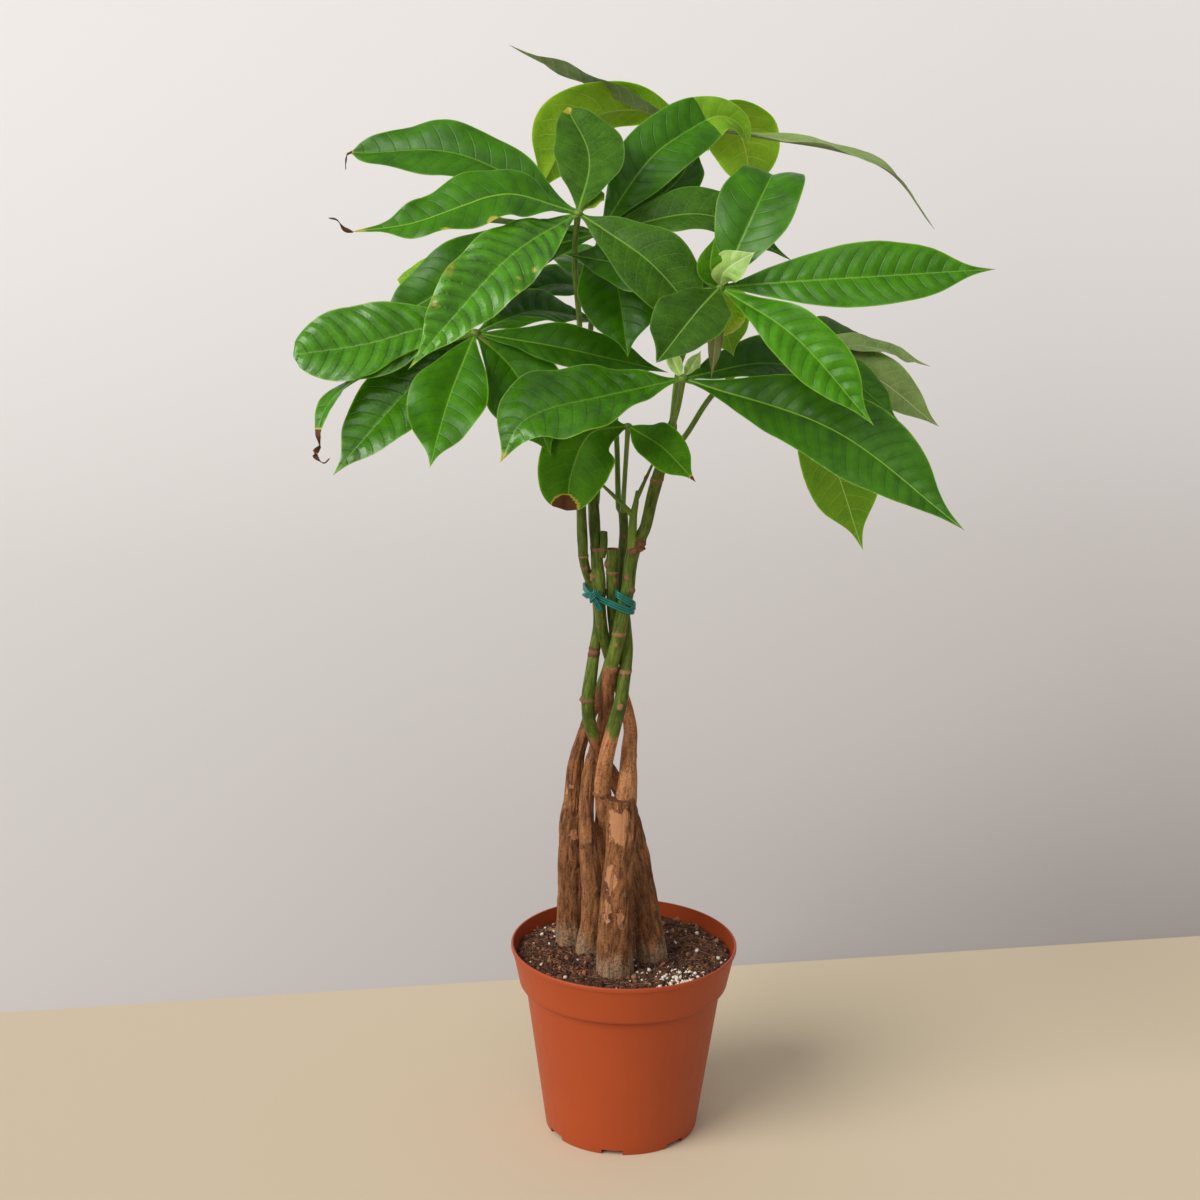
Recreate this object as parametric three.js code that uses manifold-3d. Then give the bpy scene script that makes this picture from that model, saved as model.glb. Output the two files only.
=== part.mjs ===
// Potted money tree: five bare stems, tied together above a six inch nursery pot,
// carry nine leaves of long leaflets that spread from a hub like fingers.
// Millimetres, +Z up, origin at the middle of the pot's underside, front towards -Y.
import * as THREE from 'three';
import Module from 'manifold-3d';

const wasm = await Module();
wasm.setup();

// Gap between pieces that touch.
const GAP = 0.3;

// Pot: thin tapered shell with a straight collar and a small lip.
const POT_HEIGHT = 130;
const POT_RIM_R = 75;
const POT_COLLAR_HEIGHT = 28;
const POT_COLLAR_FOOT_R = 69.5;
const POT_BODY_TOP_R = 65.2;
const POT_FOOT_R = 51;
const POT_WALL = 1.5;
const POT_FLOOR = 5.5;
const POT_SIDES = 44;
const CHANNEL_COUNT = 7;
const CHANNEL_START = -97; // degrees
const CHANNEL_WIDTH = 14;
const CHANNEL_DEPTH = 3.5;
const CHANNEL_INNER_R = 20;
const DRAIN_R = 4;
const DRAIN_AT_R = 36;

// Soil: fills the pot to 11 mm below the rim, with a loose crumbly top.
const SOIL_TOP = 119;
const SOIL_RELIEF = 2.2;
const SOIL_MOUND = 4;
const HOLE_DEPTH = 22;

// Leaves.
const BLADE_THICKNESS = 0.7;
const RIB_DEPTH = 0.7;
const HUB_R = 4.2;
const PETIOLE_R = 2.0;
const BLADE_ROWS = [0, 0.1, 0.25, 0.42, 0.6, 0.78, 0.91, 1];
const BLADE_COLUMNS = [-1, 0, 1];

// Colours and roughness, by eye from the photo.
const TERRACOTTA = ['#a9482a', 0.55];
const PEAT = ['#33231a', 0.95];
const BARK = ['#6b5236', 0.85];
const TEAL = ['#2f7f78', 0.45];
const LEAF_DULL = ['#4b6f3a', 0.6];
const LEAF_BRIGHT = ['#4f8a2c', 0.4];
const LEAF_DEEP = ['#3a6a2a', 0.45];
const LEAF_YOUNG = ['#6a962f', 0.5];

const vec = (p) => new THREE.Vector3(p[0], p[1], p[2]);

/** Repeatable pseudo-random number in 0..1 for a whole number. */
function chance(n) {
  const x = Math.sin(n * 127.1 + 311.7) * 43758.5453;
  return x - Math.floor(x);
}

/** Closed three.js geometry with shared vertices, as a solid. */
function solid(geometry) {
  const index = geometry.index.array;
  return new wasm.Manifold(new wasm.Mesh({
    numProp: 3,
    vertProperties: new Float32Array(geometry.attributes.position.array),
    triVerts: new Uint32Array(index),
  }));
}

/** Solid back to a three.js geometry. */
function shape(manifold) {
  const mesh = manifold.getMesh();
  const geometry = new THREE.BufferGeometry();
  geometry.setAttribute('position', new THREE.BufferAttribute(new Float32Array(mesh.vertProperties), 3));
  geometry.setIndex(new THREE.BufferAttribute(new Uint32Array(mesh.triVerts), 1));
  geometry.computeVertexNormals();
  return geometry;
}

/** Geometry of any three.js class with its vertices merged by position. */
function merged(geometry) {
  const source = geometry.index ? geometry.toNonIndexed() : geometry;
  const at = source.attributes.position;
  const seen = new Map();
  const points = [];
  const faces = [];
  for (let i = 0; i < at.count; i += 3) {
    const face = [];
    for (let j = 0; j < 3; j += 1) {
      const p = [at.getX(i + j), at.getY(i + j), at.getZ(i + j)];
      const key = p.map((c) => Math.round(c * 1000)).join();
      if (!seen.has(key)) {
        seen.set(key, points.length);
        points.push(p);
      }
      face.push(seen.get(key));
    }
    if (face[0] !== face[1] && face[1] !== face[2] && face[2] !== face[0]) {
      faces.push(...face);
    }
  }
  const result = new THREE.BufferGeometry();
  result.setAttribute('position', new THREE.Float32BufferAttribute(points.flat(), 3));
  result.setIndex(faces);
  return result;
}

/** Rings of points, each with the same count, skinned and capped into a closed geometry. */
function skin(rings) {
  const points = rings.flat();
  const n = rings[0].length;
  const faces = [];
  for (let i = 0; i + 1 < rings.length; i += 1) {
    for (let j = 0; j < n; j += 1) {
      const a = i * n + j;
      const b = i * n + (j + 1) % n;
      faces.push(a, b, b + n, a, b + n, a + n);
    }
  }
  const first = points.length;
  const last = (rings.length - 1) * n;
  const middle = (ring) => ring.reduce((sum, p) => sum.add(p), new THREE.Vector3())
    .divideScalar(n);
  points.push(middle(rings[0]), middle(rings[rings.length - 1]));
  for (let j = 0; j < n; j += 1) {
    const k = (j + 1) % n;
    faces.push(first, k, j);
    faces.push(first + 1, last + j, last + k);
  }
  const geometry = new THREE.BufferGeometry();
  geometry.setAttribute('position', new THREE.Float32BufferAttribute(
    points.flatMap((p) => [p.x, p.y, p.z]), 3));
  geometry.setIndex(faces);
  return geometry;
}

/** Round rod through points [x, y, z, radius], with a few rings for each span. */
function rod(path, sides, perSpan = 1) {
  const curve = new THREE.CatmullRomCurve3(path.map(vec), false, 'catmullrom', 0.5);
  const spans = path.length - 1;
  const steps = spans * perSpan;
  const rings = [];
  let across = new THREE.Vector3(1, 0, 0);
  for (let i = 0; i <= steps; i += 1) {
    const t = i / steps;
    const centre = curve.getPoint(t);
    const along = curve.getTangent(t);
    across.addScaledVector(along, -across.dot(along)).normalize();
    const other = new THREE.Vector3().crossVectors(along, across);
    const k = Math.min(Math.floor(t * spans), spans - 1);
    const r = THREE.MathUtils.lerp(path[k][3], path[k + 1][3], t * spans - k);
    const ring = [];
    for (let j = 0; j < sides; j += 1) {
      const a = (2 * Math.PI * j) / sides;
      ring.push(centre.clone()
        .addScaledVector(across, r * Math.cos(a))
        .addScaledVector(other, r * Math.sin(a)));
    }
    rings.push(ring);
    across = across.clone();
  }
  return solid(skin(rings));
}

/** Small knob, such as a leaf scar or the hub of a leaf. */
function knob(at, r, squash = 1) {
  const geometry = merged(new THREE.IcosahedronGeometry(r, r < 4.5 ? 0 : 1));
  geometry.scale(1, 1, squash);
  geometry.translate(at[0], at[1], at[2]);
  return solid(geometry);
}

/** Width of a leaflet along its length, as a share of its greatest width. */
function outline(s, peak, tip) {
  if (s < peak) {
    return Math.sin((0.5 * Math.PI * s) / peak) ** 1.2;
  }
  return Math.cos((0.5 * Math.PI * (s - peak)) / (1 - peak)) ** tip;
}

/**
 * One leaflet from a hub: path is where its rib runs from the hub, lean how far its
 * upper face turns to the front, tilt how far it turns to the right, both in degrees.
 */
function leaflet(hub, spec) {
  const { path, width, lean = 45, tilt = 0, fold = 0.16, wave = 1.2, waves = 3 } = spec;
  const { peak = 0.54, tip = 1.1, seed = 1, cup = 0 } = spec;
  const stops = [[0, 0, 0], ...path].map((p) => vec(p).add(vec(hub)));
  const curve = new THREE.CatmullRomCurve3(stops, false, 'catmullrom', 0.5);
  const up = new THREE.Vector3(
    Math.sin(THREE.MathUtils.degToRad(tilt)),
    -Math.sin(THREE.MathUtils.degToRad(lean)) * Math.cos(THREE.MathUtils.degToRad(tilt)),
    Math.cos(THREE.MathUtils.degToRad(lean)) * Math.cos(THREE.MathUtils.degToRad(tilt)),
  );
  const rings = BLADE_ROWS.map((s) => {
    const centre = curve.getPointAt(s);
    const along = curve.getTangentAt(s);
    const face = up.clone().addScaledVector(along, -up.dot(along)).normalize();
    const side = new THREE.Vector3().crossVectors(along, face);
    const half = Math.max(width * outline(s, peak, tip), s < 0.5 ? 3.2 : 1.4) / 2;
    const root = Math.max(0, 1 - s / 0.15);
    const upper = BLADE_COLUMNS.map((v) => {
      const ripple = wave * v * v * Math.sin(2 * Math.PI * (waves * s + chance(seed) + 0.3 * v));
      const lift = fold * Math.abs(v) * half - cup * v * v * half;
      return centre.clone()
        .addScaledVector(side, v * half)
        .addScaledVector(face, lift + ripple * Math.min(1, half / 10) + BLADE_THICKNESS / 2);
    });
    const lower = BLADE_COLUMNS.map((v, i) => {
      const rib = v === 0 ? RIB_DEPTH * (1 - s) : 0;
      return upper[i].clone().addScaledVector(face, -BLADE_THICKNESS - rib - 1.6 * root);
    });
    return [...upper, ...lower.reverse()];
  });
  return solid(blade(rings));
}

/** Rows of a blade, upper points then lower ones back, with both faces split alike. */
function blade(rings) {
  const n = BLADE_COLUMNS.length;
  const points = rings.flat();
  const faces = [];
  const upper = (i, j) => i * 2 * n + j;
  const lower = (i, j) => i * 2 * n + (2 * n - 1 - j);
  const quad = (a, b, c, d) => faces.push(a, b, c, a, c, d);
  for (let i = 0; i + 1 < rings.length; i += 1) {
    for (let j = 0; j + 1 < n; j += 1) {
      quad(upper(i, j), upper(i, j + 1), upper(i + 1, j + 1), upper(i + 1, j));
      faces.push(lower(i, j), lower(i + 1, j + 1), lower(i, j + 1));
      faces.push(lower(i, j), lower(i + 1, j), lower(i + 1, j + 1));
    }
    quad(upper(i, 0), upper(i + 1, 0), lower(i + 1, 0), lower(i, 0));
    quad(upper(i + 1, n - 1), upper(i, n - 1), lower(i, n - 1), lower(i + 1, n - 1));
  }
  const end = rings.length - 1;
  for (let j = 0; j + 1 < n; j += 1) {
    quad(upper(0, j + 1), upper(0, j), lower(0, j), lower(0, j + 1));
    quad(upper(end, j), upper(end, j + 1), lower(end, j + 1), lower(end, j));
  }
  const geometry = new THREE.BufferGeometry();
  geometry.setAttribute('position', new THREE.Float32BufferAttribute(
    points.flatMap((p) => [p.x, p.y, p.z]), 3));
  geometry.setIndex(faces);
  return geometry;
}

/** Everything joined into one solid. */
function fuse(parts) {
  return parts.reduce((sum, part) => sum.add(part));
}

/** A compound leaf: its stalk from the stem, its hub and its leaflets. */
function leaf({ hub, stalk, stalkR = PETIOLE_R, hubR = HUB_R, leaflets }) {
  const stops = [...stalk, hub].map((p, i) => [...p, i === 0 ? stalkR * 1.25 : stalkR]);
  const parts = [
    rod(stops, 6, 3),
    knob(hub, hubR, 0.9),
    ...leaflets.map((spec, i) => leaflet(hub, { seed: i + 1 + hub[0], ...spec })),
  ];
  return fuse(parts);
}

// --- Pot -----------------------------------------------------------------

/** Pot shell with its lip, drain channels and drain holes. */
function makePot() {
  const collarFoot = POT_HEIGHT - POT_COLLAR_HEIGHT;
  const profile = [
    [0, 0],
    [POT_FOOT_R - 1, 0],
    [POT_FOOT_R, 1],
    [POT_BODY_TOP_R, collarFoot],
    [POT_COLLAR_FOOT_R - 0.4, collarFoot],
    [POT_COLLAR_FOOT_R, collarFoot + 0.4],
    [POT_RIM_R - 0.6, POT_HEIGHT - 3],
    [POT_RIM_R, POT_HEIGHT - 2.4],
    [POT_RIM_R, POT_HEIGHT - 0.6],
    [POT_RIM_R - 0.5, POT_HEIGHT],
    [POT_RIM_R - POT_WALL, POT_HEIGHT],
    [POT_COLLAR_FOOT_R - POT_WALL, collarFoot + POT_WALL],
    [POT_BODY_TOP_R - POT_WALL, collarFoot + POT_WALL],
    [POT_FOOT_R - POT_WALL + 0.6, POT_FLOOR],
    [0, POT_FLOOR],
  ];
  const shell = new THREE.LatheGeometry(profile.map(([r, z]) => new THREE.Vector2(r, z)), POT_SIDES);
  shell.rotateX(Math.PI / 2);
  let pot = solid(merged(shell));
  for (let i = 0; i < CHANNEL_COUNT; i += 1) {
    const angle = CHANNEL_START * Math.PI / 180 + (2 * Math.PI * i) / CHANNEL_COUNT;
    const length = POT_FOOT_R + 6 - CHANNEL_INNER_R;
    const channel = new THREE.BoxGeometry(length, CHANNEL_WIDTH, 2 * CHANNEL_DEPTH);
    channel.translate(CHANNEL_INNER_R + length / 2, 0, 0);
    channel.rotateZ(angle);
    pot = pot.subtract(solid(merged(channel)));
    const drain = new THREE.CylinderGeometry(DRAIN_R, DRAIN_R, 12, 12);
    drain.rotateX(Math.PI / 2);
    drain.translate(DRAIN_AT_R * Math.cos(angle), DRAIN_AT_R * Math.sin(angle), 4);
    pot = pot.subtract(solid(merged(drain)));
  }
  return pot;
}

// --- Stems ---------------------------------------------------------------

// Each trunk: where it stands and how thick, the rods it is made of as
// [x, y, z, radius] from the ground up, and the knobs at its old leaf scars.
const STEMS = {
  stem_front: {
    foot: [-6, -31, 11.8],
    rods: [
      [[-6, -31, 128, 11.8], [-6, -29, 168, 10.8], [-4, -27, 198, 9.6], [-3, -25, 225, 9.6],
        [-3, -24, 239, 9]],
      [[-3, -21, 214, 7.5], [0, -16, 240, 6.8], [1, -9, 256, 5.8], [1.5, -3, 267, 5.3],
        [2, 2, 277, 4.7], [0, 3, 288, 4.3], [-3, 2, 299, 4.1], [-7, -0.5, 311, 3.9],
        [-10.5, -4, 323, 3.7], [-15, -8.4, 338, 3.5], [-17.3, -12.7, 351, 3.5],
        [-18.9, -15.4, 365, 3.8], [-19.5, -14.5, 380, 4.2], [-21, -7.5, 392, 3.9],
        [-22.5, 0, 408, 3.6], [-24, 9, 428, 3.4]],
      [[-18.5, -7, 395, 2.6], [-17, -5.5, 403, 2.5], [-17, -5, 411, 2.3]],
    ],
    knobs: [[2, -3, 266, 5.8], [-22.5, -15.5, 382, 4.4], [-24, 9, 428, 4]],
  },
  stem_left_front: {
    foot: [-23, -1, 8],
    rods: [
      [[-23, -1, 128, 8], [-21, -3, 161, 7.4], [-24, -6, 198, 6.4], [-26, -5, 223, 5.2],
        [-25, 2, 242, 4.8], [-23, 7, 254, 4.6], [-20, 8, 264, 4.5], [-16, 4, 279, 4.5],
        [-14, -6, 299, 4.7], [-13, -11, 315, 4.7], [-10.6, -14.6, 329, 4.5], [-7.4, -15.7, 343, 4.4],
        [-5.3, -17, 358, 4.5], [-3.3, -17.2, 369, 4.5], [-1.2, -16, 378, 4.3],
        [-0.3, -14, 389, 4.3], [1, -12, 398, 4.4], [4.5, -9.5, 407, 4.2], [9, -11, 416, 3.8],
        [12.5, -16, 435, 3.9], [15.5, -21.5, 449, 3.8], [18.5, -26, 461, 3.6], [23, -34, 482, 3.4]],
      [[0.5, -12, 401, 2.8], [0.9, -13, 414, 2.7], [1.3, -13.5, 424, 2.4], [2.8, -14, 433, 1.8],
        [3.4, -14, 440, 1]],
      [[0, -13.8, 425, 1.8], [-8.5, -14, 434, 1.4], [-18, -14, 443, 1]],
      [[3.2, -14, 435, 1.5], [9, -15.5, 449, 1.1], [14, -17, 461, 1]],
    ],
    knobs: [[4.5, -9.5, 404, 5.4], [-7.2, -16, 350, 5.1], [23, -34, 482, 4.2]],
  },
  stem_left: {
    foot: [-34.5, 17, 11],
    rods: [
      [[-34.5, 17, 128, 11], [-35, 15, 157, 9.8], [-35.5, 12, 193, 8.6], [-35, 9, 214, 8],
        [-34, 8, 228, 6.8], [-34, 8, 242, 5.7], [-32.5, 10, 255, 5.2], [-29.5, 12, 267, 4.7],
        [-24.5, 14, 283, 4.4], [-20, 13, 294, 4.2], [-16.5, 10.5, 306, 4], [-13, 6.5, 318, 3.8],
        [-10.6, 2.2, 331, 3.6], [-9.6, -4.9, 345, 3.5], [-10.4, -9.5, 357, 3.7],
        [-10.8, -12, 369, 3.8], [-11.2, -12, 382, 3.9], [-11.2, -12, 402, 4.1]],
    ],
    knobs: [[-38, 4, 224, 5.4], [-9.8, -12.6, 383, 4.4], [-11.2, -12, 400.5, 4.7]],
  },
  stem_right: {
    foot: [18, -8, 10.5],
    rods: [
      [[18, -8, 128, 10.5], [13, -5, 159, 9.6], [8, 1, 188, 8.5], [3.5, 6, 212, 7],
        [-2, 10, 230, 5.4], [-10, 8, 245, 4.7], [-14, 3, 254, 4.5], [-18, -4, 264, 4.3],
        [-22, -9, 277, 4.3], [-25, -12, 290, 4.4], [-25.7, -13.5, 303, 4.3],
        [-24.3, -13.5, 316, 4], [-22.8, -10, 328, 3.7], [-21.4, -4.5, 338, 3.4],
        [-19.8, -3.8, 350, 3.3], [-20.4, -4.6, 362, 3.1], [-21.9, -5.4, 371, 3.1], [-26.8, -6, 383, 3.1],
        [-29.6, -8, 394, 3.1], [-30.4, -9, 407, 3.2], [-32, -7, 440, 3.3]],
    ],
    knobs: [[-28, -13, 300, 4.6], [-22.6, -9, 331, 4.2], [-28.9, -7, 388, 3.9], [-32, -7, 440, 4]],
  },
  stem_back: {
    foot: [-9, 25, 8],
    rods: [
      [[-9, 25, 128, 8], [-12, 20, 174, 7.4], [-14, 11, 200, 6.8], [-14, -1, 222, 6.1],
        [-15.5, -10, 240, 5.6], [-15.3, -14, 252, 5.2], [-13.5, -17, 264, 5],
        [-10.6, -19, 280, 4.7], [-8, -19, 291, 4.6], [-5, -18, 303, 4.4], [-3, -15, 315, 4.2],
        [-2, -10.5, 326, 4], [-1.5, -6.5, 338, 3.8], [-2.2, -5, 350, 3.5], [-4, -7, 367, 3.2],
        [-5, -3, 379, 3.2], [-5, 2, 391, 3.1], [-4.3, 7, 407, 3], [-5, 9, 425, 3]],
    ],
    knobs: [[-18, -11, 241, 5.4], [-2.2, -12, 322, 4.8], [-5, 6, 405, 4]],
  },
};

/** One trunk with its shoot; the part in the soil is a plain round peg. */
function makeStem({ foot, rods, knobs }) {
  const [x, y, r] = foot;
  const top = rods[0][0][2] + 2;
  const bottom = SOIL_TOP - HOLE_DEPTH + GAP;
  const peg = new THREE.CylinderGeometry(r, r, top - bottom, 16);
  peg.rotateX(Math.PI / 2);
  peg.translate(x, y, (top + bottom) / 2);
  return fuse([
    solid(merged(peg)),
    ...rods.map((path) => rod(path, path[0][3] > 3 ? 8 : 6, path.length > 5 ? 1 : 2)),
    ...knobs.map(([kx, ky, kz, kr]) => knob([kx, ky, kz], kr)),
  ]);
}

// --- Soil ----------------------------------------------------------------

/** Potting soil: follows the pot's inside and has a plain hole for each stem. */
function makeSoil() {
  const sectors = 30;
  const collarFoot = POT_HEIGHT - POT_COLLAR_HEIGHT + POT_WALL;
  const slope = (POT_RIM_R - POT_COLLAR_FOOT_R) / POT_COLLAR_HEIGHT;
  const rimR = POT_COLLAR_FOOT_R - POT_WALL - GAP + slope * (SOIL_TOP - collarFoot) - 0.4;
  const outer = [
    [POT_FOOT_R - POT_WALL - GAP - 0.4, POT_FLOOR + GAP],
    [POT_BODY_TOP_R - POT_WALL - GAP - 0.4, collarFoot + GAP],
    [POT_COLLAR_FOOT_R - POT_WALL - GAP - 0.4, collarFoot + GAP],
    [rimR, SOIL_TOP],
  ];
  const rings = outer.map(([r, z]) => Array.from({ length: sectors }, (_, j) => {
    const a = (2 * Math.PI * j) / sectors;
    return new THREE.Vector3(r * Math.cos(a), r * Math.sin(a), z);
  }));
  [64, 55, 45, 34, 22, 10].forEach((r, i) => {
    rings.push(Array.from({ length: sectors }, (_, j) => {
      const a = (2 * Math.PI * (j + 0.5 * (i % 2))) / sectors;
      const mound = SOIL_MOUND * (1 - (r / rimR) ** 2);
      const crumb = SOIL_RELIEF * (chance(i * sectors + j) - 0.5);
      return new THREE.Vector3(r * Math.cos(a), r * Math.sin(a), SOIL_TOP + mound + crumb);
    }));
  });
  let soil = solid(skin(rings));
  for (const { foot: [x, y, r] } of Object.values(STEMS)) {
    const hole = new THREE.CylinderGeometry(r + GAP + 0.1, r + GAP + 0.1, 40, 20);
    hole.rotateX(Math.PI / 2);
    hole.translate(x, y, SOIL_TOP - HOLE_DEPTH + 20);
    soil = soil.subtract(solid(merged(hole)));
  }
  return soil;
}

// --- Twist tie -----------------------------------------------------------

const TIE_Z = 369;
const TIE_SLOPE = -0.4;
const TIE_HEIGHT = 3.4;
const TIE_THICKNESS = 1.1;
const TIE_MIDDLE = -12;
const TIE_RING = [[-28.4, -10], [-23.8, -19.6], [-12, -22.4], [-3.5, -22.8], [1.2, -20.6],
  [2.2, -14], [1.5, -7], [0.3, -3.2], [-4, -1.4], [-12, -0.2], [-21, 0.6], [-28.2, -2.6]];
// Across the band: a flat inner face and three low ridges outside.
const TIE_SECTION = [[-0.5, -0.5], [0.5, -0.5], [0.7, -0.33], [0.45, -0.17], [0.7, 0],
  [0.45, 0.17], [0.7, 0.33], [0.5, 0.5], [-0.5, 0.5]];

/** One closed turn of the ridged band, sloping down to the right. */
function tieTurn() {
  const stops = TIE_RING.map(([x, y]) => (
    new THREE.Vector3(x, y, TIE_Z + TIE_SLOPE * (x - TIE_MIDDLE))));
  const curve = new THREE.CatmullRomCurve3(stops, true, 'catmullrom', 0.5);
  const steps = 18;
  const n = TIE_SECTION.length;
  const points = [];
  const faces = [];
  for (let i = 0; i < steps; i += 1) {
    const centre = curve.getPointAt(i / steps);
    const along = curve.getTangentAt(i / steps);
    const out = new THREE.Vector3().crossVectors(along, new THREE.Vector3(0, 0, 1)).normalize();
    const upward = new THREE.Vector3().crossVectors(out, along).normalize();
    for (const [u, v] of TIE_SECTION) {
      points.push(centre.clone().addScaledVector(out, u * TIE_THICKNESS)
        .addScaledVector(upward, v * TIE_HEIGHT));
    }
    for (let j = 0; j < n; j += 1) {
      const a = i * n + j;
      const b = i * n + (j + 1) % n;
      const c = ((i + 1) % steps) * n + (j + 1) % n;
      const d = ((i + 1) % steps) * n + j;
      faces.push(a, d, c, a, c, b);
    }
  }
  const geometry = new THREE.BufferGeometry();
  geometry.setAttribute('position', new THREE.Float32BufferAttribute(
    points.flatMap((p) => [p.x, p.y, p.z]), 3));
  geometry.setIndex(faces);
  return solid(geometry);
}

/** Band around the stems, a strand over the right stem and ends twisted at the left. */
function makeTie() {
  return fuse([
    tieTurn(),
    rod([[-8.9, -19.9, 375.3, 1.1], [-6.8, -22.6, 374.3, 1.4], [-3, -23.6, 372.2, 1.4],
      [0.8, -22, 369.6, 1.4], [2.8, -18, 367.2, 1.4], [2.8, -12, 364.4, 1.3]], 8),
    rod([[-21.5, -20.8, 373, 1.5], [-24, -22, 374, 2], [-27, -20.8, 373.5, 1.9],
      [-28.8, -18.5, 372, 1.3]], 6),
    rod([[-25, -21.6, 372, 1.4], [-22.5, -22.6, 368, 1.3], [-19.3, -22.8, 364.5, 1]], 6),
    knob([-22.6, -21.4, 372.5, 2.3]),
  ]);
}

// --- Leaves --------------------------------------------------------------

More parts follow.
